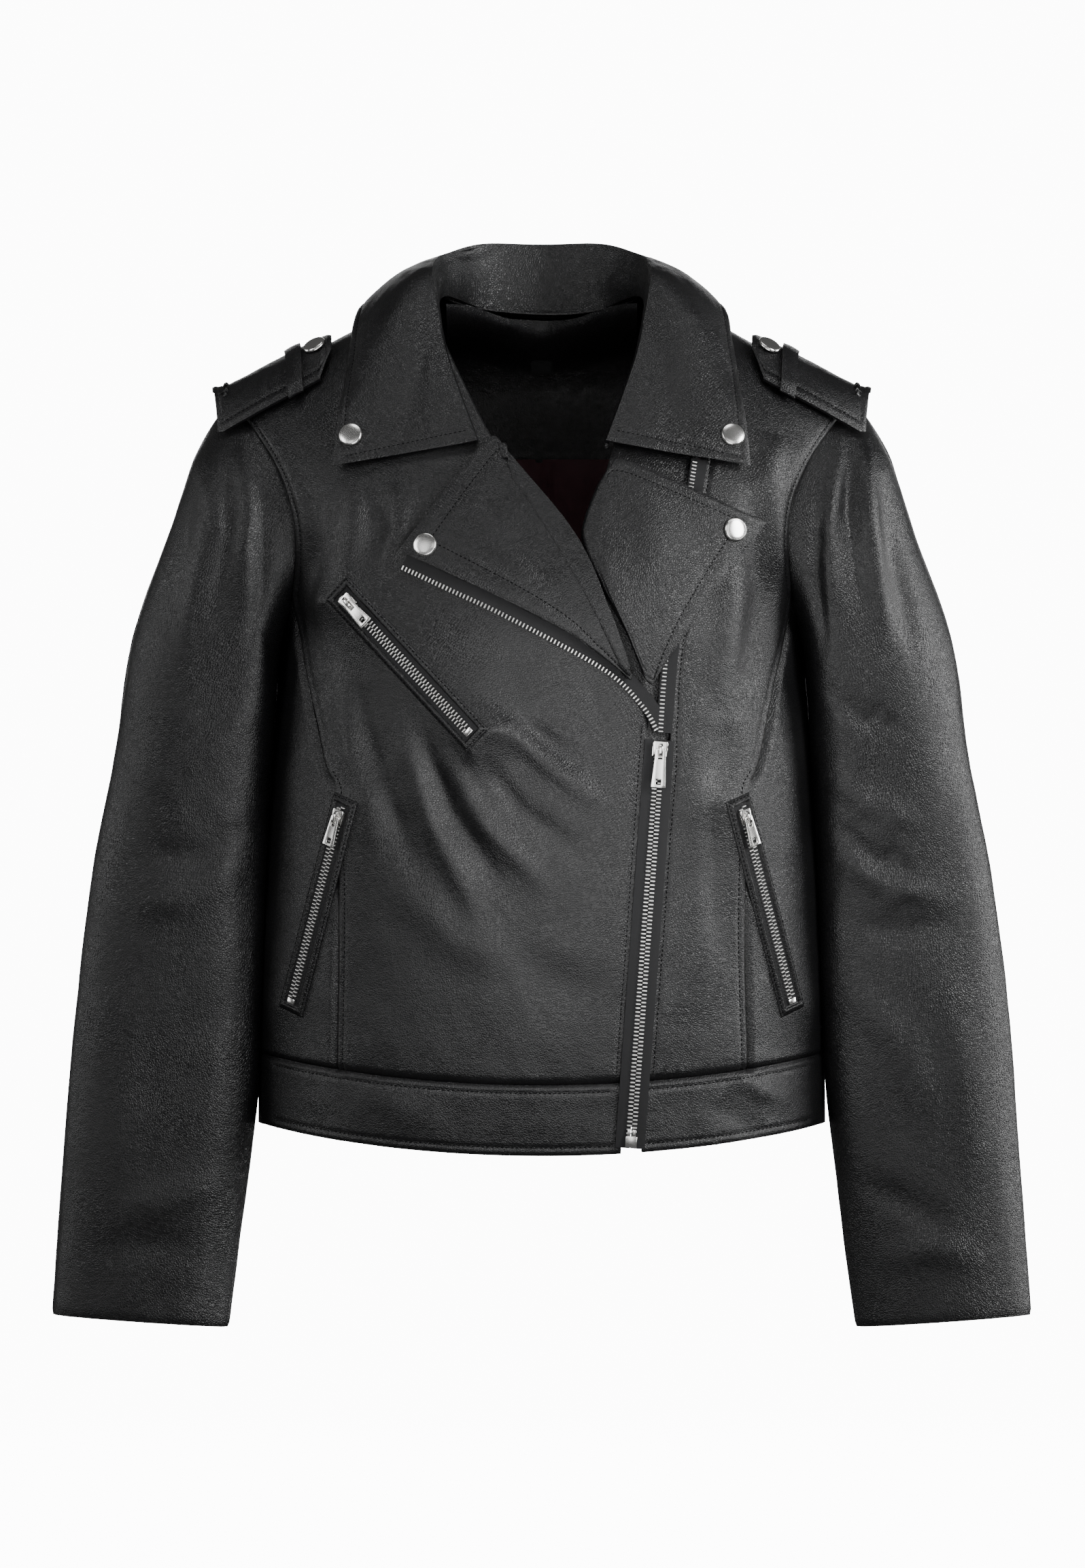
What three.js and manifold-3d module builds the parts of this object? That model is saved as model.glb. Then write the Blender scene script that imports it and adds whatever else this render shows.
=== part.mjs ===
// A cropped leather riding jacket with an off-centre zip, snapped collar and lapels, shoulder straps,
// one slanted chest pocket and two hip pockets. It is modelled as worn: filled out, arms hanging.
// Millimetres. The front faces -Y, up is +Z, and left and right are the wearer's, so left is +X.
// The origin is on the centre line at the height of the neck, where a hanger's hook stands.
import * as THREE from "three";
import { mergeVertices } from "three/addons/utils/BufferGeometryUtils.js";
import Module from "manifold-3d";

const wasm = await Module();
wasm.setup();

// ---- Driving dimensions ----
const bodyLength = 541; // neck to hem, down the centre front
const hemHalfWidth = 184;
const chestHalfWidth = 168; // half the width at the armpits
const chestDepthFront = 122; // side seam to the fullest point of the front
const hemDepthFront = 112;
const neckDepthFront = 66;
const backDepth = 104;
const shoulderX = 203;
const shoulderDrop = 52; // the armhole's top below the neck
const neckHalfWidth = 72;
const neckRise = 16; // the shoulder seam's inner end above the origin
const armpitDrop = 203;
const bandHeight = 45; // waistband
const hemDip = 18; // how far the hem dips from the side to the centre front
const backHemDip = 8;
const leather = 2.5; // a leather panel with its backing
const liningThickness = 1;
const liningInset = 6; // lining below the panels' outside
const seamGap = 0.6; // between panels that are sewn edge to edge
const curvedSeamGap = 1.8; // the same on a curved seam, where the panels' facets differ
const backCurvedSeamGap = 3;
const restGap = 0.5; // between a piece and what it lies on
const sleeveLength = 603; // from the shoulder point down to the cuff
const cuffOuterX = 317;
const cuffInnerX = 202;
const cuffHalfDepth = 24;
const collarStandHeight = 46; // neck seam to the collar's fold at the back
const collarFallBack = 60; // fold to outer edge at the back
const collarTipX = 134;
const collarTipDrop = 100;
const gorgeX = 40; // where collar and lapel meet
const gorgeDrop = 84;
const snapDiameter = 15.4;
const snapHeight = 2.6;

// ---- Levels and lines that follow from them ----
const hemZ = -bodyLength;
const armpitZ = -armpitDrop;
const shoulderZ = -shoulderDrop;
const shoulderY = 5; // the shoulder and side seams stand in this plane
const bustZ = armpitZ - 12;
const virtualHalfWidth = shoulderX + 29; // how wide the body would be at the shoulders without armholes
const bodyRoundness = 2.4; // 2 is an ellipse, more is squarer
const frontShoulderRound = 130; // how far below the shoulder seam the front rounds over
const backShoulderRound = 70;

const lerp = (a, b, t) => a + (b - a) * t;
const clamp01 = (t) => Math.min(1, Math.max(0, t));
const smooth = (t) => {
  const c = clamp01(t);
  return c * c * (3 - 2 * c);
};
const easeOut = (t) => 1 - (1 - clamp01(t)) ** 2;

// Half the body's width at a height.
function halfWidth(z) {
  if (z < armpitZ) {
    return lerp(chestHalfWidth, hemHalfWidth, easeOut((armpitZ - z) / (armpitZ - hemZ)));
  }
  return lerp(chestHalfWidth, virtualHalfWidth, smooth((z - armpitZ) / (shoulderZ - armpitZ)));
}

// The shoulder seam's height at a distance from the centre.
function shoulderSeamZ(x) {
  return lerp(neckRise, shoulderZ, clamp01((Math.abs(x) - neckHalfWidth) / (shoulderX - neckHalfWidth)));
}

// How much of the full depth is left near the side seam and near the shoulder seam.
function roundOff(x, z, shoulderRound) {
  const across = clamp01(Math.abs(x) / halfWidth(z));
  const side = Math.sqrt(1 - across ** bodyRoundness);
  const below = clamp01((shoulderSeamZ(x) - z) / shoulderRound);
  return side * Math.sqrt(1 - (1 - below) ** 2);
}

// The outside of the front and of the back.
function frontY(x, z) {
  const depth =
    z > bustZ
      ? lerp(neckDepthFront, chestDepthFront, smooth((neckRise - z) / (neckRise - bustZ)))
      : lerp(chestDepthFront, hemDepthFront, clamp01((bustZ - z) / (bustZ - hemZ)));
  return shoulderY - seamGap / 2 - depth * roundOff(x, z, frontShoulderRound);
}

function backY(x, z) {
  return shoulderY + seamGap / 2 + backDepth * roundOff(x, z, backShoulderRound);
}

const point = (x, y, z) => new THREE.Vector3(x, y, z);
const flat = (x, z) => new THREE.Vector2(x, z);

// The outward direction of a surface given as y over x and z. sign is -1 on the front and 1 on the back.
function surfaceNormal(surface, sign, x, z) {
  const step = 1;
  const slopeX = (surface(x + step, z) - surface(x - step, z)) / (2 * step);
  const slopeZ = (surface(x, z + step) - surface(x, z - step)) / (2 * step);
  return point(-slopeX * sign, sign, -slopeZ * sign).normalize();
}

// A place on the front, raised off it by lift.
function onFront(x, z, lift = 0) {
  const normal = surfaceNormal(frontY, -1, x, z);
  return point(x, frontY(x, z), z).addScaledVector(normal, lift);
}

const hemFrontZ = (x) => hemZ + hemDip * clamp01(Math.abs(x) / hemHalfWidth) ** 2;
const hemBackZ = (x) => hemZ + hemDip - backHemDip * (1 - clamp01(Math.abs(x) / hemHalfWidth) ** 2);
const waistFrontZ = (x) => hemFrontZ(x) + bandHeight;
const waistBackZ = (x) => hemBackZ(x) + bandHeight;

// ---- Mesh helpers ----
const jacket = new THREE.Group();

const finishes = {
  leather: { color: 0x26262a, roughness: 0.5, metalness: 0 },
  lining: { color: 0x2c1517, roughness: 0.7, metalness: 0 },
  tape: { color: 0x141416, roughness: 0.9, metalness: 0 },
  nickel: { color: 0xc9c9c9, roughness: 0.18, metalness: 1 },
};

function addMesh(name, geometry, finish, parent = jacket) {
  const mesh = new THREE.Mesh(geometry, new THREE.MeshStandardMaterial(finishes[finish]));
  mesh.name = name;
  parent.add(mesh);
  return mesh;
}

// A closed sheet: outside(u, v) gives its outer face over a grid, and the inner face is offset
// by the thickness towards the side that inward points to.
function sheetGeometry(outside, columns, rows, thickness, inward) {
  const step = 1e-3;
  const outer = [];
  const inner = [];
  const middle = outside(0.5, 0.5);
  const acrossMiddle = outside(0.5 + step, 0.5).sub(middle);
  const alongMiddle = outside(0.5, 0.5 + step).sub(middle);
  const turned = acrossMiddle.cross(alongMiddle).dot(inward) > 0 ? 1 : -1;
  for (let j = 0; j <= rows; j++) {
    for (let i = 0; i <= columns; i++) {
      const u = i / columns;
      const v = j / rows;
      const uBack = Math.max(0, u - step);
      const vBack = Math.max(0, v - step);
      const across = outside(Math.min(1, u + step), v).sub(outside(uBack, v));
      const along = outside(u, Math.min(1, v + step)).sub(outside(u, vBack));
      const normal = across.cross(along).normalize().multiplyScalar(turned * thickness);
      const place = outside(u, v);
      outer.push(place);
      inner.push(place.clone().add(normal));
    }
  }
  const all = [...outer, ...inner];
  const back = outer.length;
  const at = (i, j) => j * (columns + 1) + i;
  const faces = [];
  const quad = (a, b, c, d) => faces.push(a, b, c, a, c, d);
  for (let j = 0; j < rows; j++) {
    for (let i = 0; i < columns; i++) {
      quad(at(i, j), at(i + 1, j), at(i + 1, j + 1), at(i, j + 1));
      quad(back + at(i, j + 1), back + at(i + 1, j + 1), back + at(i + 1, j), back + at(i, j));
    }
  }
  for (let i = 0; i < columns; i++) {
    quad(back + at(i, 0), back + at(i + 1, 0), at(i + 1, 0), at(i, 0));
    quad(at(i, rows), at(i + 1, rows), back + at(i + 1, rows), back + at(i, rows));
  }
  for (let j = 0; j < rows; j++) {
    quad(at(0, j), at(0, j + 1), back + at(0, j + 1), back + at(0, j));
    quad(back + at(columns, j), back + at(columns, j + 1), at(columns, j + 1), at(columns, j));
  }
  if (turned > 0) {
    for (let i = 0; i < faces.length; i += 3) {
      [faces[i + 1], faces[i + 2]] = [faces[i + 2], faces[i + 1]];
    }
  }
  const geometry = new THREE.BufferGeometry();
  geometry.setAttribute("position", new THREE.Float32BufferAttribute(all.flatMap((p) => p.toArray()), 3));
  geometry.setIndex(faces);
  return geometry;
}

// A smooth line through a few places of the front view.
function line(...places) {
  const spline = new THREE.SplineCurve(places);
  return (t) => spline.getPoint(clamp01(t));
}

// Two lines run one after the other, the first up to the share of the way given.
const endToEnd = (first, second, share) => (t) =>
  t < share ? first(t / share) : second((t - share) / (1 - share));

// A four-sided patch of the front view between its edges, as a function of u across and v up.
function patch(bottom, top, left, right) {
  return (u, v) => {
    const b = bottom(u);
    const t = top(u);
    const l = left(v);
    const r = right(v);
    const corner = (p, q, w) => p.clone().lerp(q, w);
    const rim = corner(b, t, v).add(corner(l, r, u));
    const ends = corner(corner(bottom(0), bottom(1), u), corner(top(0), top(1), u), v);
    return rim.sub(ends);
  };
}

const mirrored = (side, curve) => (t) => {
  const p = curve(t);
  return flat(side * p.x, p.y);
};

// Joins solids into one with manifold-3d.
function solid(geometry) {
  const bare = geometry.index ? geometry.toNonIndexed() : geometry.clone();
  bare.deleteAttribute("normal");
  bare.deleteAttribute("uv");
  const merged = mergeVertices(bare, 1e-4);
  return new wasm.Manifold(
    new wasm.Mesh({
      numProp: 3,
      vertProperties: merged.attributes.position.array,
      triVerts: new Uint32Array(merged.index.array),
    }),
  );
}

function joined(...geometries) {
  const mesh = geometries.map(solid).reduce((a, b) => a.add(b)).getMesh();
  const geometry = new THREE.BufferGeometry();
  geometry.setAttribute("position", new THREE.BufferAttribute(new Float32Array(mesh.vertProperties), 3));
  geometry.setIndex(new THREE.BufferAttribute(new Uint32Array(mesh.triVerts), 1));
  return geometry;
}

const box = (width, length, height, x, y, z) =>
  new THREE.BoxGeometry(width, length, height).translate(x, y, z);

// ---- The main zip's line: straight from the hem up to the slider's resting place ----
const mainZipTopX = 75;
const mainZipTopDrop = 276;
const mainZipBottomX = 56;
const mainZipEndRise = 5; // the bottom box above the hem
const tapeHalfWidth = 8; // half the gap that the fronts leave for the closed zip
const mainTop = flat(mainZipTopX, -mainZipTopDrop);
const mainBottom = flat(mainZipBottomX, hemZ + mainZipEndRise);
const mainZipX = (z) => lerp(mainTop.x, mainBottom.x, (mainTop.y - z) / (mainTop.y - mainBottom.y));

// ---- Outlines of the body's panels, in the front view, for the left half ----
const armholeTop = flat(shoulderX, shoulderZ);
const armholeLine = [
  armholeTop,
  flat(lerp(chestHalfWidth, shoulderX, 0.2), shoulderZ - 43),
  flat(chestHalfWidth - 6, shoulderZ - 80),
  flat(chestHalfWidth - 7, shoulderZ - 110),
];
const princessTop = flat(chestHalfWidth - 4, armpitZ + 20);
const armpit = flat(chestHalfWidth - 0.3, armpitZ);
const princessTurn = flat(chestHalfWidth - 26, armpitZ - 82);
const princessPocket = flat(chestHalfWidth - 37, armpitZ - 122);
const princessBottomX = chestHalfWidth - 35;
const princessBottom = flat(princessBottomX, waistFrontZ(princessBottomX) + seamGap);
const princess = line(princessBottom, princessPocket, princessTurn, princessTop);
const frontArmhole = line(princessTop, ...armholeLine.slice(1).reverse(), armholeTop);
const frontOuter = endToEnd(princess, frontArmhole, 0.62);
const neckPoint = flat(neckHalfWidth, neckRise);
const shoulderSeam = line(neckPoint, armholeTop);
const denseTop = (v) => Math.sin((v * Math.PI) / 2);

// The right front's inner edge: up beside the zip, then along the lapel's fold to the neck.
const rollBottom = flat(mainTop.x - 15, -gorgeDrop - 160);
const rollTop = flat(-gorgeX + 16, -gorgeDrop - 12);
const frontStart = (side) => {
  const x = mainZipX(hemZ + bandHeight) + side * tapeHalfWidth;
  return flat(x, waistFrontZ(x) + seamGap);
};
const rightInner = line(
  frontStart(-1),
  flat(mainZipX(mainTop.y - 100) - tapeHalfWidth, mainTop.y - 100),
  flat(mainTop.x - tapeHalfWidth, mainTop.y),
  rollBottom,
  flat(lerp(rollBottom.x, rollTop.x, 0.5) + 4, lerp(rollBottom.y, rollTop.y, 0.5)),
  rollTop,
  flat(-gorgeX - 20, -gorgeDrop + 60),
  flat(-neckHalfWidth, neckRise),
);

// The left front's inner edge: up beside the zip all the way to the neck.
const leftRowTop = flat(mainTop.x + 23, -gorgeDrop - 12);
const leftRow = line(
  mainTop,
  flat(mainTop.x + 4, mainTop.y + 56),
  flat(mainTop.x + 13, mainTop.y + 116),
  leftRowTop,
);
const leftRowGap = 5; // from the open row of teeth to the leather
const leftInner = line(
  frontStart(1),
  flat(mainZipX(mainTop.y - 100) + tapeHalfWidth, mainTop.y - 100),
  flat(mainTop.x + tapeHalfWidth, mainTop.y),
  flat(leftRow(0.5).x + leftRowGap, leftRow(0.5).y),
  flat(leftRowTop.x + leftRowGap, leftRowTop.y),
  flat(neckHalfWidth + 16, neckRise - 46),
  flat(neckHalfWidth, neckRise),
);

const frontInward = point(0, 1, 0);
const backInward = point(0, -1, 0);

function frontPanel(name, outline, columns, rows, lift = 0, thickness = leather, finish = "leather") {
  const outside = (u, v) => {
    const p = outline(u, v);
    return onFront(p.x, p.y, lift);
  };
  return addMesh(name, sheetGeometry(outside, columns, rows, thickness, frontInward), finish);
}

// Front centre panels
const waistLine = (from, to) => (u) => {
  const x = lerp(from, to, u);
  return flat(x, waistFrontZ(x) + seamGap);
};
const rightFront = patch(
  waistLine(-princessBottomX, rightInner(0).x),
  (u) => mirrored(-1, shoulderSeam)(1 - u),
  mirrored(-1, frontOuter),
  rightInner,
);
const frontRows = Math.ceil(bodyLength / 40);
frontPanel("front_right", (u, v) => rightFront(u, denseTop(v)), 8, frontRows);
const leftFront = patch(
  waistLine(leftInner(0).x, princessBottomX),
  shoulderSeam,
  leftInner,
  frontOuter,
);
frontPanel("front_left", (u, v) => leftFront(u, denseTop(v)), 6, frontRows);

// Side panels, from the princess seam round to the side seam
const sideRows = Math.ceil(bodyLength / 64);
const sideRound = (u) => Math.sin((u * Math.PI) / 2);
const sideX = (z) => halfWidth(z) - 0.2;
function sidePanel(name, side, surface, waist, seam, inward) {
  const sideLine = (v) => {
    const z = lerp(waist(hemHalfWidth) + seamGap, armpitZ, v);
    return flat(sideX(z), z);
  };
  const outline = patch(
    (u) => {
      const x = lerp(seam(0).x, sideLine(0).x, u);
      return flat(x, waist(x) + seamGap);
    },
    (u) => seam(1).clone().lerp(sideLine(1), u),
    seam,
    sideLine,
  );
  const outside = (u, v) => {
    const p = outline(sideRound(u), v);
    return point(side * p.x, surface(side * p.x, p.y), p.y);
  };
  addMesh(name, sheetGeometry(outside, 5, sideRows, leather, inward), "leather");
}
const inset = (curve, amount) => (t) => curve(t).add(flat(amount, 0));
for (const [side, word] of [[-1, "right"], [1, "left"]]) {
  sidePanel("side_front_" + word, side, frontY, waistFrontZ, inset(princess, curvedSeamGap), frontInward);
}

// Back: a centre panel between two side backs
const backSeamTop = flat(chestHalfWidth - 6, shoulderZ - 95);
const backSeamBottomX = 92;
const backSeamBottom = flat(backSeamBottomX, waistBackZ(backSeamBottomX) + seamGap);
const backSeam = line(
  backSeamBottom,
  flat(backSeamBottomX + 6, armpitZ - 130),
  flat(chestHalfWidth - 40, armpitZ - 10),
  backSeamTop,
);
const backNeckDrop = 12; // the neck seam's middle below the shoulder seam's inner end
const backArmhole = line(backSeamTop, flat(chestHalfWidth - 1, shoulderZ - 50), armholeTop);
const backOuter = endToEnd(backSeam, backArmhole, 0.66);
const backMiddle = patch(
  (u) => {
    const x = lerp(-backSeamBottomX, backSeamBottomX, u);
    return flat(x, waistBackZ(x) + seamGap);
  },
  (u) => {
    const x = lerp(-shoulderX, shoulderX, u);
    const dip = backNeckDrop * (1 - clamp01(Math.abs(x) / neckHalfWidth) ** 2);
    return flat(x, shoulderSeamZ(x) - dip);
  },
  mirrored(-1, backOuter),
  backOuter,
);
const backOutside = (u, v) => {
  const p = backMiddle(u, denseTop(v));
  return point(p.x, backY(p.x, p.y), p.y);
};
addMesh("back_centre", sheetGeometry(backOutside, 14, 12, leather, backInward), "leather");
for (const [side, word] of [[-1, "right"], [1, "left"]]) {
  const backSide = inset(backSeam, backCurvedSeamGap);
  const sideLine = (v) => {
    const z = lerp(waistBackZ(hemHalfWidth) + seamGap, armpitZ, v);
    return flat(sideX(z), z);
  };
  const outline = patch(
    (u) => {
      const x = lerp(backSide(0).x, sideLine(0).x, u);
      return flat(x, waistBackZ(x) + seamGap);
    },
    line(backSide(1), flat(shoulderX - 42, armpitZ + 25), armpit),
    backSide,
    sideLine,
  );
  const outside = (u, v) => {
    const p = outline(sideRound(u), v);
    return point(side * p.x, backY(side * p.x, p.y), p.y);
  };
  addMesh("side_back_" + word, sheetGeometry(outside, 6, 9, leather, backInward), "leather");
}

// Waistband: a right front, a left front and a back band
function frontBand(name, innerX, side) {
  const outside = (u, v) => {
    const x = lerp(innerX, side * sideX(hemZ + bandHeight), sideRound(u));
    const z = lerp(hemFrontZ(x), waistFrontZ(x), v);
    const reach = Math.min(Math.abs(x), sideX(z)) * Math.sign(x);
    return point(reach, frontY(reach, z), z);
  };
  addMesh(name, sheetGeometry(outside, 10, 1, leather, frontInward), "leather");
}
frontBand("waistband_right", mainZipX(hemZ + bandHeight / 2) - tapeHalfWidth, -1);
frontBand("waistband_left", mainZipX(hemZ + bandHeight / 2) + tapeHalfWidth, 1);
const backBand = (u, v) => {
  const x = sideX(hemZ + bandHeight) * Math.sin((u - 0.5) * Math.PI);
  const z = lerp(hemBackZ(x), waistBackZ(x), v);
  const reach = Math.min(Math.abs(x), sideX(z)) * Math.sign(x);
  return point(reach, backY(reach, z), z);
};
addMesh("waistband_back", sheetGeometry(backBand, 14, 1, leather, backInward), "leather");

// The underlap: the left front's strip inside the zip, from the slider up to the neck
const underlapInset = 4.2;
const leftRoll = line(
  flat(mainTop.x - 16, -gorgeDrop - 158),
  flat(mainTop.x - 46, -gorgeDrop - 88),
  flat(mainTop.x - 46, -gorgeDrop - 60),
  flat(gorgeX + 3, -gorgeDrop - 16),
  flat(neckHalfWidth - 6, -gorgeDrop + 70),
);
const underlap = patch(
  (u) => flat(lerp(mainTop.x - 4, mainTop.x + leftRowGap, u), mainTop.y + 8),
  (u) => leftRoll(1).lerp(flat(neckHalfWidth + 2, leftRoll(1).y + 3), u),
  line(flat(mainTop.x - 4, mainTop.y + 8), ...[0, 0.25, 0.5, 0.75, 1].map(leftRoll)),
  line(
    flat(mainTop.x + leftRowGap, mainTop.y + 8),
    flat(leftRow(0.5).x + leftRowGap, leftRow(0.5).y),
    flat(leftRowTop.x, leftRowTop.y),
    flat(neckHalfWidth + 2, leftRoll(1).y + 3),
  ),
);
frontPanel("underlap_left", underlap, 4, 12, -underlapInset);

// ---- Lapels, folded back on the chest ----
const lapelLift = 3.4; // the upper face of a lapel above the chest, less its own thickness
const rightTip = flat(-gorgeX - 50, -gorgeDrop - 72);
const rightLapelEdge = line(
  rightTip,
  flat(-gorgeX + 44, -gorgeDrop - 117),
  flat(gorgeX - 5, -gorgeDrop - 137),
  flat(rollBottom.x - 6, rollBottom.y + 8),
);
const rightLapelFold = line(
  rollTop,
  flat(lerp(rollTop.x, rollBottom.x, 0.5) + 4, lerp(rollTop.y, rollBottom.y, 0.5)),
  flat(rollBottom.x - 3, rollBottom.y + 10),
);
const rightLapel = patch(
  (u) => rightLapelEdge(1).lerp(rightLapelFold(1), u),
  line(rightTip, flat(-gorgeX + 4, -gorgeDrop - 3), rollTop),
  (v) => rightLapelEdge(1 - v),
  (v) => rightLapelFold(1 - v),
);
frontPanel("lapel_right", rightLapel, 7, 8, lapelLift + leather);
const leftTip = flat(gorgeX + 101, -gorgeDrop - 53);
const leftLapelEdge = line(
  leftTip,
  flat(gorgeX + 52, -gorgeDrop - 121),
  flat(mainTop.x - 6, -gorgeDrop - 157),
);
const leftLapelFold = line(
  flat(gorgeX + 4, -gorgeDrop - 18),
  flat(mainTop.x - 43, -gorgeDrop - 60),
  flat(mainTop.x - 28, -gorgeDrop - 94),
  flat(mainTop.x - 14, -gorgeDrop - 127),
  flat(mainTop.x - 8, -gorgeDrop - 155),
);
const leftLapel = patch(
  (u) => leftLapelFold(1).lerp(leftLapelEdge(1), u),
  line(leftLapelFold(0), flat(gorgeX + 18, -gorgeDrop - 17), leftTip),
  (v) => leftLapelFold(1 - v),
  (v) => leftLapelEdge(1 - v),
);
frontPanel("lapel_left", leftLapel, 7, 8, lapelLift + leather);

// ---- Collar ----
// Rows of three places from the fold over the crown to the outer edge, from the back round to the front.
const foldZ = neckRise - backNeckDrop + collarStandHeight;
const collarRows = [
  [point(0, 73, foldZ), point(0, 92, foldZ - 8), point(0, 108, foldZ - collarFallBack)],
  [point(38, 63, foldZ), point(50, 82, foldZ - 10), point(66, 92, foldZ - collarFallBack + 4)],
  [point(60, 38, foldZ - 7), point(80, 52, foldZ - 14), point(106, 56, -6)],
  [point(69, 8, foldZ - 14), point(92, 10, foldZ - 16), point(120, 6, 4)],
  [point(70, -24, foldZ - 30), point(97, -36, foldZ - 36), point(126, -36, -34)],
  [point(60, -50, -28), point(92, -66, -40), point(131, -66, -68)],
  [point(gorgeX, -79, -gorgeDrop), point(86, -92, -gorgeDrop - 8), point(collarTipX, -78, -collarTipDrop)],
];
const railOf = (k) => new THREE.CatmullRomCurve3(collarRows.map((row) => row[k]));
const collarRails = [railOf(0), railOf(1), railOf(2)];
const collarLift = 3.2;

// A place on the collar's upper face: around goes 0 at the left tip, 0.5 at the back, 1 at the right tip.
function collarTop(around, down) {
  const side = around < 0.5 ? 1 : -1;
  const t = Math.abs(around - 0.5) * 2;
  const [fold, crown, edge] = collarRails.map((rail) => rail.getPoint(t));
  const rest = 1 - down;
  const p = point(0, 0, 0)
    .addScaledVector(fold, rest * rest)
    .addScaledVector(crown, 2 * rest * down)
    .addScaledVector(edge, down * down);
  // Where it lies over the chest and the shoulder blades it stands clear of them.
  const clear = collarLift + leather;
  if (p.z < shoulderSeamZ(p.x)) {
    if (p.y < shoulderY) {
      p.y = Math.min(p.y, frontY(p.x, p.z) - clear * 1.2);
    } else {
      p.y = Math.max(p.y, backY(p.x, p.z) + clear * 1.2);
    }
  }
  return point(side * p.x, p.y, p.z);
}
addMesh(
  "collar_fall",
  sheetGeometry((u, v) => collarTop(u, v), 28, 6, leather, point(0, -0.3, -1)),
  "leather",
);

// The stand rises inside the fold from the neck seam, round the back and the sides.
const standReach = 0.62; // how far round it goes, of the way to the collar's tips
const standInset = 4.5; // inside the fold
function standFace(around, up) {
  const side = around < 0.5 ? 1 : -1;
  const t = Math.abs(around - 0.5) * 2 * standReach;
  const fold = collarRails[0].getPoint(t);
  const inside = 1 - standInset / Math.hypot(fold.x, fold.y);
  const topZ = fold.z - 4;
  const backSeamZ = neckRise - backNeckDrop * (1 - clamp01(Math.abs(fold.x) / neckHalfWidth) ** 2) + 2;
  const seamZ = fold.y > 0 ? Math.min(backSeamZ, topZ - 10) : Math.min(neckRise, topZ - 12);
  return point(side * fold.x * inside, fold.y * inside, lerp(seamZ, topZ, up));
}
addMesh(
  "collar_stand",
  sheetGeometry(standFace, 22, 2, leather, point(0, -1, 0)),
  "leather",
);

// ---- Inside: neck facing, lining, hanger loop patch and tag ----
const facingDrop = 97;
const facingHalfWidth = 61;
const facingInset = leather + 3;
const insideBack = (x, z, depth) => {
  const normal = surfaceNormal(backY, 1, x, z);
  return point(x, backY(x, z), z).addScaledVector(normal, -depth);
};
addMesh(
  "neck_facing",
  sheetGeometry(
    (u, v) => {
      const x = lerp(-facingHalfWidth, facingHalfWidth, u);
      const z = lerp(-facingDrop, neckRise - backNeckDrop - 8, v);
      return insideBack(x, z, facingInset);
    },
    10,
    8,
    1.4,
    backInward,
  ),
  "leather",
);
const liningTop = -facingDrop - 1;
const liningSide = 0.96; // of the half width, so that it stays off the side seams
const liningRightEdge = 24; // where the right front's lining ends short of the underlap
addMesh(
  "lining_back",
  sheetGeometry(
    (u, v) => {
      const z = lerp(hemZ + bandHeight, liningTop, v);
      const x = lerp(-1, 1, u) * Math.min(halfWidth(z), chestHalfWidth) * 0.9;
      return insideBack(x, z, liningInset);
    },
    10,
    8,
    liningThickness,
    backInward,
  ),
  "lining",
);
for (const [side, word] of [[-1, "right"], [1, "left"]]) {
  const outline = (u, v) => {
    const z = lerp(hemZ + bandHeight + hemDip, armpitZ, v);
    const inner = side < 0 ? -liningRightEdge : mainZipX(z) + tapeHalfWidth + 6;
    return flat(side * lerp(inner, halfWidth(z) * liningSide - 12, u), z);
  };
  const liningPlace = (u, v) => {
    const p = outline(u, v);
    return onFront(p.x, p.y, -liningInset);
  };
  addMesh("lining_front_" + word, sheetGeometry(liningPlace, 8, 8, liningThickness, frontInward), "lining");
}
function insidePatch(name, width, height, drop, depth, thickness) {
  const outside = (u, v) => insideBack(lerp(-width / 2, width / 2, u), lerp(-drop - height, -drop, v), depth);
  addMesh(name, sheetGeometry(outside, 4, 1, thickness, backInward), "tape");
}
const patchDepth = facingInset + 1.4 + 1.2;
insidePatch("hanger_loop_patch", 50, 9, 9, patchDepth, 1);
insidePatch("care_tag", 14, 12, 18.5, patchDepth, 0.8);

// ---- Sleeves ----
// Outer and inner outlines in the front view, from the armhole down to the cuff.
const cuffZ = shoulderZ - sleeveLength;
const sleeveHeadDrop = 8; // the sleeve's head below the armhole's top, clear of the shoulder strap
const sleeveStart = flat(shoulderX + 5, shoulderZ - sleeveHeadDrop);
const cuffRise = 8; // the cuff's inner end hangs this much lower than its outer end
const elbowZ = lerp(shoulderZ, cuffZ, 0.52);
const sleeveOuter = line(
  sleeveStart,
  flat(shoulderX + 20, shoulderZ - 34),
  flat(shoulderX + 35, shoulderZ - 78),
  flat(shoulderX + 62, armpitZ - 5),
  flat(lerp(shoulderX, cuffOuterX, 0.65), lerp(armpitZ, elbowZ, 0.5)),
  flat(lerp(shoulderX, cuffOuterX, 0.78), elbowZ),
  flat(lerp(shoulderX, cuffOuterX, 0.9), lerp(elbowZ, cuffZ, 0.42)),
  flat(cuffOuterX, cuffZ + cuffRise),
);
const bodyClearance = 5;
const sleeveInner = line(
  flat(chestHalfWidth + 1.6, armpitZ + 1),
  flat(halfWidth(armpitZ - 30) + bodyClearance, armpitZ - 30),
  flat(halfWidth(armpitZ - 80) + bodyClearance, armpitZ - 80),
  flat(halfWidth(elbowZ) + bodyClearance, elbowZ),
  flat(hemHalfWidth + bodyClearance, lerp(elbowZ, cuffZ, 0.42)),
  flat(cuffInnerX, cuffZ),
);
const armholeGap = 3.2;
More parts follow.
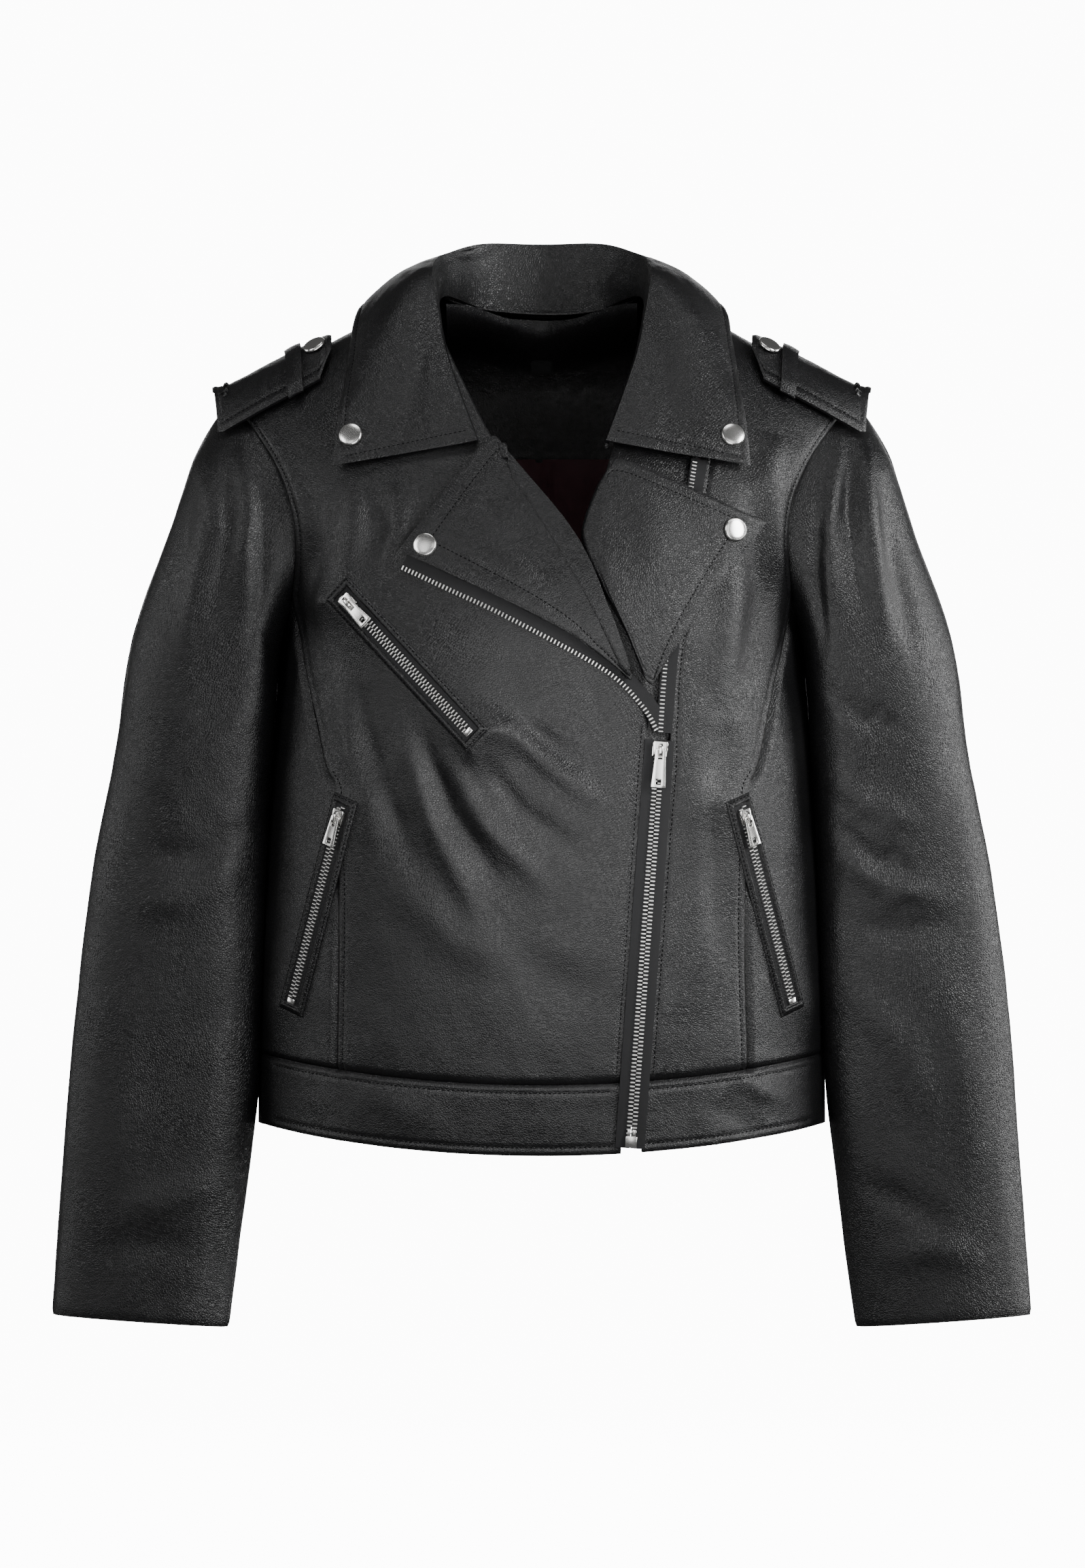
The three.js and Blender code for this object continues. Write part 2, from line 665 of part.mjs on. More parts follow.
// Armhole places for the ring of angles: 0 at the top, a half turn at the armpit.
const armholeFront = line(armholeTop, ...armholeLine.slice(1), princessTop, armpit);
function armholePlace(turn, back) {
  const t = turn / Math.PI;
  const p = armholeFront(t);
  const y = back ? backY(p.x, p.y) : frontY(p.x, p.y);
  const crown = t < 0.5 ? Math.cos(turn) ** 2 : 0;
  const x = p.x + armholeGap + crown * (sleeveStart.x - shoulderX - armholeGap);
  return point(x, y, p.y - crown * sleeveHeadDrop);
}
const sleeveHalfDepth = (s) => lerp(62, cuffHalfDepth, smooth(s * 1.05));
const sleeveForward = (s) => shoulderY - 16 * s * s;
// A place on a left sleeve: angle 0 outer, a quarter turn at the front, a half turn inner.
function sleevePlace(angle, s) {
  const outer = sleeveOuter(s);
  const inner = sleeveInner(s);
  const middle = outer.clone().lerp(inner, 0.5);
  const half = outer.clone().sub(inner).multiplyScalar(0.5);
  const turn = angle > Math.PI ? 2 * Math.PI - angle : angle;
  const c = Math.cos(turn);
  const d = Math.sin(turn) ** 0.9;
  const sign = angle > Math.PI ? 1 : -1;
  const ring = point(
    middle.x + half.x * c,
    sleeveForward(s) + sign * sleeveHalfDepth(s) * d,
    middle.y + half.y * c,
  );
  const mouth = armholePlace(turn, angle > Math.PI);
  return mouth.lerp(ring, smooth(s * 5.5));
}
const frontSeamAngle = Math.PI * 0.93; // the hidden seam under the arm
const backSeamAngle = Math.PI * 1.45; // the seam down the back of the sleeve
const edgeAngle = 0.012;
const sleeveRows = (v) => v ** 1.5;
const sleeves = {};
for (const [side, word] of [[-1, "right"], [1, "left"]]) {
  sleeves[word] = new THREE.Group();
  jacket.add(sleeves[word]);
  const panel = (name, from, to, columns) => {
    const outside = (u, v) => {
      const p = sleevePlace((lerp(from, to, u) + 2 * Math.PI) % (2 * Math.PI), sleeveRows(v));
      return point(side * p.x, p.y, p.z);
    };
    const middleAngle = (from + to) / 2;
    const inward = point(-side * Math.cos(middleAngle), Math.sin(middleAngle), 0);
    addMesh(name, sheetGeometry(outside, columns, 12, leather, inward), "leather", sleeves[word]);
  };
  panel("sleeve_top_" + word, backSeamAngle - 2 * Math.PI + edgeAngle, frontSeamAngle - edgeAngle, 12);
  panel("sleeve_under_" + word, frontSeamAngle + edgeAngle, backSeamAngle - edgeAngle, 7);
}

// ---- Zips ----
const chainHeight = 1.8;
const tapeThickness = 0.6;
const slideClearance = 0.35;

// A flat frame of reference on the front for a straight zip: local Y runs from its open end up to
// its closed end, X across it and Z out of the jacket. It clears the leather under its whole width.
function zipFrame(lower, upper, width) {
  const at = (p) => point(p.x, frontY(p.x, p.y), p.y);
  const along = at(upper).sub(at(lower)).normalize();
  const middle = lower.clone().lerp(upper, 0.5);
  const normal = surfaceNormal(frontY, -1, middle.x, middle.y);
  const across = along.clone().cross(normal).normalize();
  normal.crossVectors(across, along).normalize();
  const origin = at(middle);
  let proud = 0;
  const samples = 12;
  for (let i = 0; i <= samples; i++) {
    for (const edge of [-1, 0, 1]) {
      const p = lower.clone().lerp(upper, i / samples);
      const sideways = flat(across.x, across.z).multiplyScalar((edge * width) / 2);
      const q = at(p.add(sideways));
      proud = Math.max(proud, q.sub(origin).dot(normal));
    }
  }
  origin.addScaledVector(normal, proud + restGap);
  const frame = new THREE.Group();
  frame.applyMatrix4(new THREE.Matrix4().makeBasis(across, along, normal).setPosition(origin));
  jacket.add(frame);
  return { frame, length: at(upper).distanceTo(at(lower)) };
}

// A slider that wraps the chain's face and sides, with a bridge for the pull, and its pull.
// base is the height of the chain's underside.
const sliderLength = 10;
const sliderWall = 1.2;
const bridgeRadius = 1.5;
const bridgeThickness = 1;
const bridgeWidth = 2;
const pullThickness = 1.4;
const pullGap = 0.3;
const pullTopWidth = 6.4;
const pullSlotWidth = bridgeWidth + 1;
const pullBar = 1.4; // the bar of the pull that turns under the bridge
const pullSlotLength = 5.4;
const pullBottomWidth = 9.6;
const pullWindow = 3.4;

function addSlider(prefix, frame, chainWidth, y, base) {
  const inner = chainWidth / 2 + slideClearance;
  const under = base + chainHeight + slideClearance;
  const top = under + sliderWall;
  const lipHeight = top - base - 0.1;
  const outerWidth = 2 * (inner + sliderWall);
  const plate = box(outerWidth, sliderLength, sliderWall, 0, y, top - sliderWall / 2);
  const lips = [-1, 1].map((side) =>
    box(sliderWall, sliderLength, lipHeight, side * (inner + sliderWall / 2), y, top - lipHeight / 2),
  );
  const axisZ = top + pullGap + pullThickness / 2;
  const ring = new THREE.Shape();
  const outerRadius = bridgeRadius + bridgeThickness;
  const sink = axisZ - top + 0.3;
  ring.moveTo(outerRadius, -sink);
  ring.lineTo(outerRadius, 0);
  ring.absarc(0, 0, outerRadius, 0, Math.PI, false);
  ring.lineTo(-outerRadius, -sink);
  ring.lineTo(-bridgeRadius, -sink);
  ring.lineTo(-bridgeRadius, 0);
  ring.absarc(0, 0, bridgeRadius, Math.PI, 0, true);
  ring.lineTo(bridgeRadius, -sink);
  ring.closePath();
  const bridge = new THREE.ExtrudeGeometry(ring, {
    depth: bridgeWidth,
    bevelEnabled: false,
    curveSegments: 6,
  });
  bridge.translate(0, 0, -bridgeWidth / 2);
  bridge.applyMatrix4(new THREE.Matrix4().makeBasis(point(0, 1, 0), point(0, 0, 1), point(1, 0, 0)));
  bridge.translate(0, y, axisZ);
  addMesh(prefix + "_slider", joined(plate, ...lips, bridge), "nickel", frame);
  return axisZ;
}

function addPull(prefix, frame, y, axisZ, length) {
  const shape = new THREE.Shape();
  const topY = pullBar / 2;
  shape.moveTo(-pullTopWidth / 2, topY);
  shape.lineTo(-pullBottomWidth / 2, topY - length);
  shape.lineTo(pullBottomWidth / 2, topY - length);
  shape.lineTo(pullTopWidth / 2, topY);
  shape.closePath();
  const hole = (width, from, to) => {
    const path = new THREE.Path();
    path.moveTo(-width / 2, from);
    path.lineTo(width / 2, from);
    path.lineTo(width / 2, to);
    path.lineTo(-width / 2, to);
    path.closePath();
    shape.holes.push(path);
  };
  hole(pullSlotWidth, -pullBar / 2, -pullBar / 2 - pullSlotLength);
  hole(pullWindow, topY - length + 2.4 + pullWindow, topY - length + 2.4);
  const geometry = new THREE.ExtrudeGeometry(shape, { depth: pullThickness, bevelEnabled: false });
  geometry.translate(0, y, axisZ - pullThickness / 2);
  addMesh(prefix + "_pull", geometry, "nickel", frame);
}

// A pocket: a stitched leather frame with the zip in its slot, and a bag behind it.
const welt = { width: 19, end: 7, slot: 9.4, thickness: 2 };
const pocketChain = 5;
const pocketPullLength = 20;

function addPocket(prefix, lower, upper, slideName) {
  const { frame, length } = zipFrame(lower, upper, welt.width);
  const outline = new THREE.Shape();
  const halfLength = length / 2;
  outline.moveTo(-welt.width / 2, -halfLength);
  outline.lineTo(welt.width / 2, -halfLength);
  outline.lineTo(welt.width / 2, halfLength);
  outline.lineTo(-welt.width / 2, halfLength);
  outline.closePath();
  const slot = new THREE.Path();
  const slotEnd = halfLength - welt.end;
  slot.moveTo(-welt.slot / 2, -slotEnd);
  slot.lineTo(-welt.slot / 2, slotEnd);
  slot.lineTo(welt.slot / 2, slotEnd);
  slot.lineTo(welt.slot / 2, -slotEnd);
  slot.closePath();
  outline.holes.push(slot);
  const leatherFrame = new THREE.ExtrudeGeometry(outline, { depth: welt.thickness, bevelEnabled: false });
  addMesh(prefix + "_welt", leatherFrame, "leather", frame);
  const inSlot = 2 * (slotEnd - 0.4);
  const base = tapeThickness;
  const tape = box(welt.slot - 0.8, inSlot, tapeThickness, 0, 0, tapeThickness / 2);
  const sunk = 0.1;
  const teeth = box(pocketChain, inSlot - 1, chainHeight + sunk, 0, 0, base + (chainHeight - sunk) / 2);
  addMesh(prefix + "_chain", joined(tape, teeth), "nickel", frame);
  const sliderY = slotEnd - 1 - sliderLength / 2;
  const axisZ = addSlider(slideName, frame, pocketChain, sliderY, base);
  addPull(slideName, frame, sliderY, axisZ, pocketPullLength);
}

const chestLower = flat(-41, armpitZ - 73);
const chestUpper = flat(-131, armpitZ + 24);
addPocket("chest_pocket", chestLower, chestUpper, "chest");
const hipPocketRise = 46; // the hip pocket's lower end above the waist seam
const hipPocketHeight = 137;
const hipLowerX = hemHalfWidth - 23;
const hipUpperX = hemHalfWidth - 59;
for (const [side, word] of [[-1, "right"], [1, "left"]]) {
  const lowerZ = hemZ + bandHeight + hipPocketRise;
  addPocket(
    "hip_pocket_" + word,
    flat(side * hipLowerX, lowerZ),
    flat(side * hipUpperX, lowerZ + hipPocketHeight),
    "hip_" + word,
  );
}

// Pocket bags hang inside, behind the fronts.
function pocketBag(name, x0, x1, top, bottom) {
  const bagInset = liningInset + liningThickness + 2.5;
  const outside = (u, v) => onFront(lerp(x0, x1, u), lerp(bottom, top, v), -bagInset);
  addMesh(name, sheetGeometry(outside, 4, 5, 1.5, frontInward), "lining");
}
pocketBag("chest_pocket_bag", -132, -30, armpitZ + 10, armpitZ - 100);
for (const [side, word] of [[-1, "right"], [1, "left"]]) {
  const bagInner = side * (hemHalfWidth - 106);
  const bagOuter = side * (hemHalfWidth - 34);
  pocketBag("hip_pocket_bag_" + word, bagInner, bagOuter, armpitZ - 120, hemZ + bandHeight + 30);
}

// Main zip: the closed chain on its two tapes, the box at the hem, and the open rows above the slider.
const mainChain = 6;
const mainPullLength = 25;
const main = zipFrame(mainBottom, mainTop, 2 * tapeHalfWidth);
const mainHalf = main.length / 2;
const mainBase = tapeThickness + 0.3;
const stopLength = 9;
const tapeWidth = tapeHalfWidth - 0.7;
for (const [side, word] of [[-1, "right"], [1, "left"]]) {
  addMesh(
    "main_zip_tape_" + word,
    box(tapeWidth, main.length, tapeThickness, side * (tapeWidth / 2 + 0.2), 0, tapeThickness / 2),
    "tape",
    main.frame,
  );
  const rowWidth = mainChain / 2 - 0.2;
  addMesh(
    "main_zip_teeth_" + word,
    box(
      rowWidth,
      main.length - stopLength - 2,
      chainHeight,
      side * (rowWidth / 2 + 0.2),
      stopLength / 2,
      mainBase + chainHeight / 2,
    ),
    "nickel",
    main.frame,
  );
}
addMesh(
  "main_zip_box",
  box(8.4, stopLength - 1, 2.6, 0, -mainHalf + stopLength / 2, mainBase + 1.3),
  "nickel",
  main.frame,
);
const mainSliderY = mainHalf - sliderLength / 2 - 1;
const mainAxisZ = addSlider("main", main.frame, mainChain, mainSliderY, mainBase);
addPull("main", main.frame, mainSliderY, mainAxisZ, mainPullLength);

// A strip on the chest along a line: from one side of it to the other, at a lift, with a thickness.
function ribbon(name, path, from, to, lift, thickness, steps, finish) {
  const step = 1e-3;
  const outside = (u, v) => {
    const ahead = path(Math.min(1, v + step)).sub(path(Math.max(0, v - step)));
    const sideways = flat(-ahead.y, ahead.x).normalize();
    const p = path(v).addScaledVector(sideways, lerp(from, to, u));
    return onFront(p.x, p.y, lift + thickness);
  };
  addMesh(name, sheetGeometry(outside, 1, steps, thickness, frontInward), finish);
}
const openRowWidth = 2.8;
const rowLift = 0.6;
const rightRow = line(
  flat(mainTop.x - 12, mainTop.y + 22),
  flat(gorgeX - 1, -gorgeDrop - 147),
  flat(-gorgeX + 20, -gorgeDrop - 115),
  flat(-gorgeX - 49, -gorgeDrop - 82),
);
const rowHalf = openRowWidth / 2;
ribbon("lapel_teeth_right", rightRow, -rowHalf, rowHalf, rowLift, chainHeight, 12, "nickel");
ribbon("lapel_tape_right", rightRow, -rowHalf - 7, -rowHalf - 0.4, rowLift, tapeThickness, 12, "tape");
const leftOpen = (t) => leftRow(lerp(0.14, 1, t));
ribbon("open_teeth_left", leftOpen, -openRowWidth / 2, openRowWidth / 2, -0.6, chainHeight, 10, "nickel");

// ---- Shoulder straps, sewn into the armhole and snapped near the collar ----
const strapInnerX = 134;
const strapOuterX = shoulderX + 11;
const strapOuterTrim = 7; // how much shorter its front edge is at the outer end, clear of the sleeve
const strapLift = 3.2;
const strapFrontDrop = 26; // its front edge below the shoulder seam, down the front's slope
const strapBehind = 0.15; // how much of it reaches behind the shoulder seam
const strapPoint = 0.1; // the share of its length that narrows to the point
const keeperAlong = 0.3;
const keeperLength = 0.13;
const keeperThickness = 1.6;

// A place on the shoulder's slope: forward is 0 at the shoulder seam and 1 at the strap's front edge.
function shoulderSlope(x, forward) {
  const z = shoulderSeamZ(x) - strapFrontDrop * forward * forward;
  return point(x, forward > 0 ? frontY(x, z) : backY(x, z), z);
}

// The same raised off the slope, for the left strap: along goes out from its point, across from back to
// front.
function strapPlace(along, across, lift) {
  const narrow = along < strapPoint ? lerp(0.62, 1, along / strapPoint) : 1;
  const forward = lerp(-strapBehind, 1, 0.5 + (across - 0.5) * narrow);
  const x = lerp(strapInnerX, strapOuterX - strapOuterTrim * clamp01(forward), along);
  const step = 0.01;
  const outwards = shoulderSlope(x + 1, forward).sub(shoulderSlope(x - 1, forward));
  const forwards = shoulderSlope(x, forward + step).sub(shoulderSlope(x, forward - step));
  const normal = forwards.cross(outwards).normalize();
  return shoulderSlope(x, forward).addScaledVector(normal, lift);
}
const onSide = (side, place) => point(side * place.x, place.y, place.z);
for (const [side, word] of [[-1, "right"], [1, "left"]]) {
  const outside = (u, v) => onSide(side, strapPlace(u, v, strapLift + leather));
  addMesh("shoulder_strap_" + word, sheetGeometry(outside, 10, 6, leather, point(0, 0.5, -1)), "leather");
  const keeper = (u, v) => {
    const along = keeperAlong + (u - 0.5) * keeperLength;
    return onSide(side, strapPlace(along, lerp(-0.04, 1.04, v), strapLift + 2 * leather + keeperThickness));
  };
  addMesh("strap_keeper_" + word, sheetGeometry(keeper, 2, 6, keeperThickness, point(0, 0.5, -1)), "leather");
}

// ---- Snap caps ----
const strapSnapAlong = 0.13;
function snapCap(name, place, normal, lift) {
  const radius = snapDiameter / 2;
  const rim = 0.7;
  const profile = [
    flat(0, 0),
    flat(radius - 0.6, 0),
    flat(radius, rim),
    flat(radius, snapHeight - rim),
    flat(radius - rim, snapHeight),
    flat(0, snapHeight),
  ];
  const geometry = new THREE.LatheGeometry(profile, 24);
  const mesh = addMesh(name, geometry, "nickel");
  mesh.quaternion.setFromUnitVectors(point(0, 1, 0), normal);
  mesh.position.copy(place).addScaledVector(normal, lift);
}
const lapelSnaps = {
  right: flat(rightTip.x + 17, rightTip.y + 3),
  left: flat(leftTip.x - 20, leftTip.y - 5),
};
for (const word of ["right", "left"]) {
  const p = lapelSnaps[word];
  const normal = surfaceNormal(frontY, -1, p.x, p.y);
  snapCap("lapel_snap_" + word, onFront(p.x, p.y, lapelLift + leather), normal, 0.8);
}
for (const [side, word] of [[-1, "right"], [1, "left"]]) {
  const around = side > 0 ? 0.045 : 0.955;
  const down = 0.88;
  const step = 0.01;
  const place = collarTop(around, down);
  const acrossCollar = collarTop(around + step, down).sub(collarTop(around - step, down));
  const downCollar = collarTop(around, down + step).sub(collarTop(around, down - step));
  const normal = acrossCollar.cross(downCollar).normalize();
  if (normal.y > 0) normal.negate();
  snapCap("collar_snap_" + word, place, normal, 0.8);
  const strapSnap = onSide(side, strapPlace(strapSnapAlong, 0.5, strapLift + leather));
  const above = onSide(side, strapPlace(strapSnapAlong, 0.5, strapLift + leather + 1));
  snapCap("strap_snap_" + word, strapSnap, above.sub(strapSnap).normalize(), 0.8);
}

export default jacket;
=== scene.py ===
# A cropped leather riding jacket, filled out as worn, in metres in the CAD frame.
# Places are worked out in millimetres and turned into metres as each mesh is made.
import math

import bmesh
import bpy
import numpy as np
from mathutils import Matrix, Vector


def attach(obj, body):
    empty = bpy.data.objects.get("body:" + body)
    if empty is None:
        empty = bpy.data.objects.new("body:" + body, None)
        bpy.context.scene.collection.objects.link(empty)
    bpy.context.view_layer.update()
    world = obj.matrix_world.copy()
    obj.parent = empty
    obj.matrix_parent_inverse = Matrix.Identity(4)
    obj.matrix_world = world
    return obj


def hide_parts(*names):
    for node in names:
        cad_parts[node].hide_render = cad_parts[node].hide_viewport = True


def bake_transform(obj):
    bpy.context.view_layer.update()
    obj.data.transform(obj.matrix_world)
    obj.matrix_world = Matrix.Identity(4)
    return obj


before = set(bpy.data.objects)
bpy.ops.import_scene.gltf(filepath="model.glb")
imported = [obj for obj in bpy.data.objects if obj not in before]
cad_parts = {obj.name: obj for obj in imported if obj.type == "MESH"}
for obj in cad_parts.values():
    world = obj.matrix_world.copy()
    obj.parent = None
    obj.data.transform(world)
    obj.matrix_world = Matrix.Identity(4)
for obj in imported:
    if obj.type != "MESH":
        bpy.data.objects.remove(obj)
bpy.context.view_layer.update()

MM = 0.001


# ---- Right front, the larger centre panel ----
# Nappa leather about a millimetre thick on a fusible backing. It is cut in one piece from the waist
# seam to the shoulder and sewn into the princess seam, the armhole and the shoulder seam.
def lerp(a, b, t):
    return a + (b - a) * t


def smooth(t):
    c = np.clip(t, 0.0, 1.0)
    return c * c * (3 - 2 * c)


def line(*places):
    """A smooth line through places, as a function of an array from 0 to 1."""
    p = np.array(places, float)
    n = len(p)

    def at(t):
        f = np.clip(np.asarray(t, float), 0, 1) * (n - 1)
        i = np.minimum(f.astype(int), n - 2)
        w = (f - i)[..., None]
        p0, p1 = p[np.maximum(i - 1, 0)], p[i]
        p2, p3 = p[i + 1], p[np.minimum(i + 2, n - 1)]
        v0, v1 = (p2 - p0) / 2, (p3 - p1) / 2
        cubic, square = 2 * (p1 - p2) + v0 + v1, 3 * (p2 - p1) - 2 * v0 - v1
        return cubic * w**3 + square * w**2 + v0 * w + p1

    return at


def end_to_end(first, second, share):
    def at(t):
        t = np.asarray(t, float)
        return np.where((t < share)[..., None], first(t / share), second((t - share) / (1 - share)))

    return at


def patch(bottom, top, left, right):
    """A four-sided patch between its edges, as a function of u across and v up."""

    def at(u, v):
        u, v = np.broadcast_arrays(np.asarray(u, float), np.asarray(v, float))
        uu, vv = u[..., None], v[..., None]
        zero, one = np.zeros(1), np.ones(1)
        rim = lerp(bottom(u), top(u), vv) + lerp(left(v), right(v), uu)
        ends = lerp(lerp(bottom(zero), bottom(one), uu), lerp(top(zero), top(one), uu), vv)
        return rim - ends

    return at


hem_half, band_height = 184, 45


def half_width(z):
    below = lerp(168.0, hem_half, 1 - (1 - np.clip((-203 - z) / 338, 0, 1)) ** 2)
    return np.where(z < -203, below, lerp(168.0, 232.0, smooth((z + 203) / 151)))


def shoulder_seam_z(x):
    return lerp(16.0, -52.0, np.clip((np.abs(x) - 72) / 131, 0, 1))


def round_off(x, z, shoulder_round):
    side = np.sqrt(1 - np.clip(np.abs(x) / half_width(z), 0, 1) ** 2.4)
    below = np.clip((shoulder_seam_z(x) - z) / shoulder_round, 0, 1)
    return side * np.sqrt(1 - (1 - below) ** 2)


def front_y(x, z):
    upper = lerp(66.0, 122.0, smooth((16 - z) / 231))
    lower = lerp(122.0, 112.0, np.clip((-215 - z) / 326, 0, 1))
    return 4.7 - np.where(z > -215, upper, lower) * round_off(x, z, 130.0)


def back_y(x, z):
    return 5.3 + 104.0 * round_off(x, z, 70.0)


def hem_front_z(x):
    return -541 + 18 * np.clip(np.abs(x) / hem_half, 0, 1) ** 2


def waist_front_z(x):
    return hem_front_z(x) + band_height


def unit(v):
    return v / np.maximum(np.linalg.norm(v, axis=-1, keepdims=True), 1e-12)


def on_surface(surface, sign, x, z, lift):
    """Places on the front (sign -1) or the back (sign 1), raised off it by lift."""
    x, z = np.broadcast_arrays(np.asarray(x, float), np.asarray(z, float))
    slope_x = (surface(x + 1, z) - surface(x - 1, z)) / 2
    slope_z = (surface(x, z + 1) - surface(x, z - 1)) / 2
    normal = unit(np.stack([-slope_x * sign, np.full(x.shape, float(sign)), -slope_z * sign], -1))
    return np.stack([x, surface(x, z), z], -1) + normal * np.asarray(lift)[..., None]


def distance_to(x, z, places):
    """How far each x, z is from a line through places, and how far along it that is, from 0 to 1."""
    p = np.array(places, float)
    q = np.stack([x, z], -1)
    best = np.full(x.shape, 1e9)
    share = np.zeros(x.shape)
    sizes = np.linalg.norm(p[1:] - p[:-1], axis=1)
    total = max(sizes.sum(), 1e-9)
    run = 0.0
    for a, b, size in zip(p[:-1], p[1:], sizes):
        d = b - a
        t = np.clip(((q - a) @ d) / max(d @ d, 1e-9), 0, 1)
        away = np.linalg.norm(q - (a + t[..., None] * d), axis=-1)
        nearer = away < best
        best = np.where(nearer, away, best)
        share = np.where(nearer, (run + t * size) / total, share)
        run += size
    return best, share


def waves(x, z, seed, size, octaves=3):
    """A soft random relief between about -1 and 1, with hills about size wide."""
    rng = np.random.default_rng(seed)
    total = np.zeros(np.shape(x))
    for k in range(octaves):
        for _ in range(5):
            angle, phase = rng.uniform(0, 2 * math.pi, 2)
            f = 2 * math.pi / size * 1.9**k * rng.uniform(0.7, 1.3)
            bend = np.sin(0.6 * f * (x * math.sin(angle * 2) + z * math.cos(angle * 3)) + phase * 2)
            total += np.sin(f * (x * math.cos(angle) + z * math.sin(angle)) + phase + bend) / 5 / 1.8**k
    return total


def folds(x, z, rows):
    """Soft ridges and valleys: each row is a line, its half width and its height, under 0 in a valley."""
    total = np.zeros(np.shape(x))
    for places, width, height in rows:
        near, share = distance_to(x, z, places)
        taper = np.sin(math.pi * np.clip(share, 0.02, 0.98)) ** 0.7
        total += height * taper * np.exp(-((near / width) ** 2))
    return total


# Drag folds on the right front, fanning out below the chest pocket, and soft dents in the upper chest
right_folds = [
    ([(-92, -262), (-70, -330), (-38, -392)], 7, 2.6),
    ([(-78, -268), (-58, -322), (-20, -378)], 6, -2.2),
    ([(-64, -280), (-36, -330), (6, -372)], 6.5, 2.4),
    ([(-40, -286), (-12, -322), (30, -352)], 6, -1.8),
    ([(-26, -262), (4, -292), (40, -318)], 7, 2.2),
    ([(-118, -236), (-104, -300), (-78, -362)], 7, -2.2),
    ([(-128, -226), (-122, -286), (-104, -350)], 7, 2.2),
    ([(-52, -242), (-16, -262), (30, -296)], 6, -1.6),
    ([(-110, -106), (-104, -140), (-112, -180)], 9, -2.4),
    ([(-118, -110), (-122, -150), (-128, -182)], 7, 2.0),
    ([(-88, -110), (-92, -140), (-104, -168)], 8, 2.2),
    ([(-150, -120), (-146, -170), (-150, -220)], 8, -2.0),
    ([(-168, -90), (-152, -130), (-150, -190)], 6, 1.6),
    ([(-100, -360), (-60, -400), (-10, -420)], 12, 1.6),
    ([(-30, -400), (10, -430), (40, -440)], 14, -1.4),
]


def zip_x(z):
    return lerp(75.0, 56.0, (-276 - z) / 260)


def mirror(side, curve):
    return lambda t: curve(t) * np.array([side, 1.0])


def zip_frame(lower, upper, width):
    """The flat place of a straight zip: its middle, its directions across, along and out, and its length."""

    def at(p):
        return np.array([p[0], float(front_y(p[0], p[1])), p[1]])

    a, b = np.array(lower, float), np.array(upper, float)
    middle = (a + b) / 2
    along = unit(at(b) - at(a))
    low, high = (on_surface(front_y, -1, middle[0], middle[1], lift) for lift in (0.0, 1.0))
    out = high - low
    across = unit(np.cross(along, out))
    out = unit(np.cross(across, along))
    sideways = np.array([across[0], across[2]]) * width / 2
    steps = [lerp(a, b, i / 12) + edge * sideways for i in range(13) for edge in (-1, 0, 1)]
    proud = max(0.0, max((at(p) - at(middle)) @ out for p in steps))
    return at(middle) + out * (proud + 0.5), across, along, out, float(np.linalg.norm(at(b) - at(a)))


pockets = {
    "chest": zip_frame((-41, -276), (-131, -179), 19),
    "hip_right": zip_frame((-161, -450), (-125, -313), 19),
    "hip_left": zip_frame((161, -450), (125, -313), 19),
}
waist_tuck = 0.4  # how far the panels reach under the waistband
princess = line((133, float(waist_front_z(133)) - waist_tuck), (131, -325), (142, -285), (164, -183))
front_armhole = line((164, -183), (161, -162), (162, -132), (175, -95), (203, -52))
front_outer = end_to_end(princess, front_armhole, 0.62)
shoulder_line = line((72, 16), (203, -52))
full = np.linspace(0, 1, 60)
outer_places = front_outer(full)
leather_edge = 6.8  # from the middle of the main zip to the leather on either side
open_row = line((75, -276), (79, -220), (88, -160), (98, -96))

# Every stitched row of the front, as places in the front view: the leather dips a little along it
front_rows = {
    "princess_left": princess(full) + [-5, 0],
    "princess_right": princess(full) * [-1, 1] + [5, 0],
    "armhole_left": front_armhole(full) + [-5.5, -1.5],
    "armhole_right": front_armhole(full) * [-1, 1] + [5.5, -1.5],
    "zip_right": np.array([(zip_x(z) - leather_edge - 5, z) for z in np.linspace(-489, -268, 40)]),
    "zip_left": np.concatenate(
        [
            [(zip_x(z) + leather_edge + 5, z) for z in np.linspace(-489, -290, 30)],
            open_row(np.linspace(0.05, 1, 30)) + [leather_edge + 4, 0],
        ]
    ),
    "band_right": np.array([(x, float(waist_front_z(x)) - 5) for x in np.linspace(-172, 44, 60)]),
    "band_left": np.array([(x, float(waist_front_z(x)) - 5) for x in np.linspace(67, 172, 40)]),
    "hem_right": np.array([(x, float(hem_front_z(x)) + 5.2) for x in np.linspace(-172, 44, 60)]),
    "hem_left": np.array([(x, float(hem_front_z(x)) + 5.2) for x in np.linspace(67, 172, 40)]),
}
front_seams = [
    outer_places,
    outer_places * [-1, 1],
    np.array([(x, float(waist_front_z(x))) for x in np.linspace(-hem_half, hem_half, 60)]),
]


def front_relief(x, z, rows):
    """How far the leather of the front stands off its plain shape."""
    lift = 0.8 * waves(x, z, 4, 95) + 1.6 * folds(x, z, rows)
    for places in front_rows.values():
        near, _ = distance_to(x, z, places)
        lift = lift - 0.75 * np.exp(-((near / 1.3) ** 2))
    for places in front_seams:
        near, _ = distance_to(x, z, places)
        lift = lift - 2.2 * np.exp(-((near / 1.7) ** 2))
    plain = on_surface(front_y, -1, x, z, 0.0)
    for middle, across, along, out, length in pockets.values():
        away = plain - middle
        outside = np.hypot(
            np.maximum(np.abs(away @ across) - 9.5, 0),
            np.maximum(np.abs(away @ along) - length / 2, 0),
        )
        sewn_flat = np.clip(1 - outside / 34, 0, 1) ** 2.2
        lift = lerp(lift, -(away @ out) - 0.4, np.maximum(sewn_flat, smooth(1 - outside / 5)))
    return lift


leather_dark = (0.0055, 0.0055, 0.006, 1)


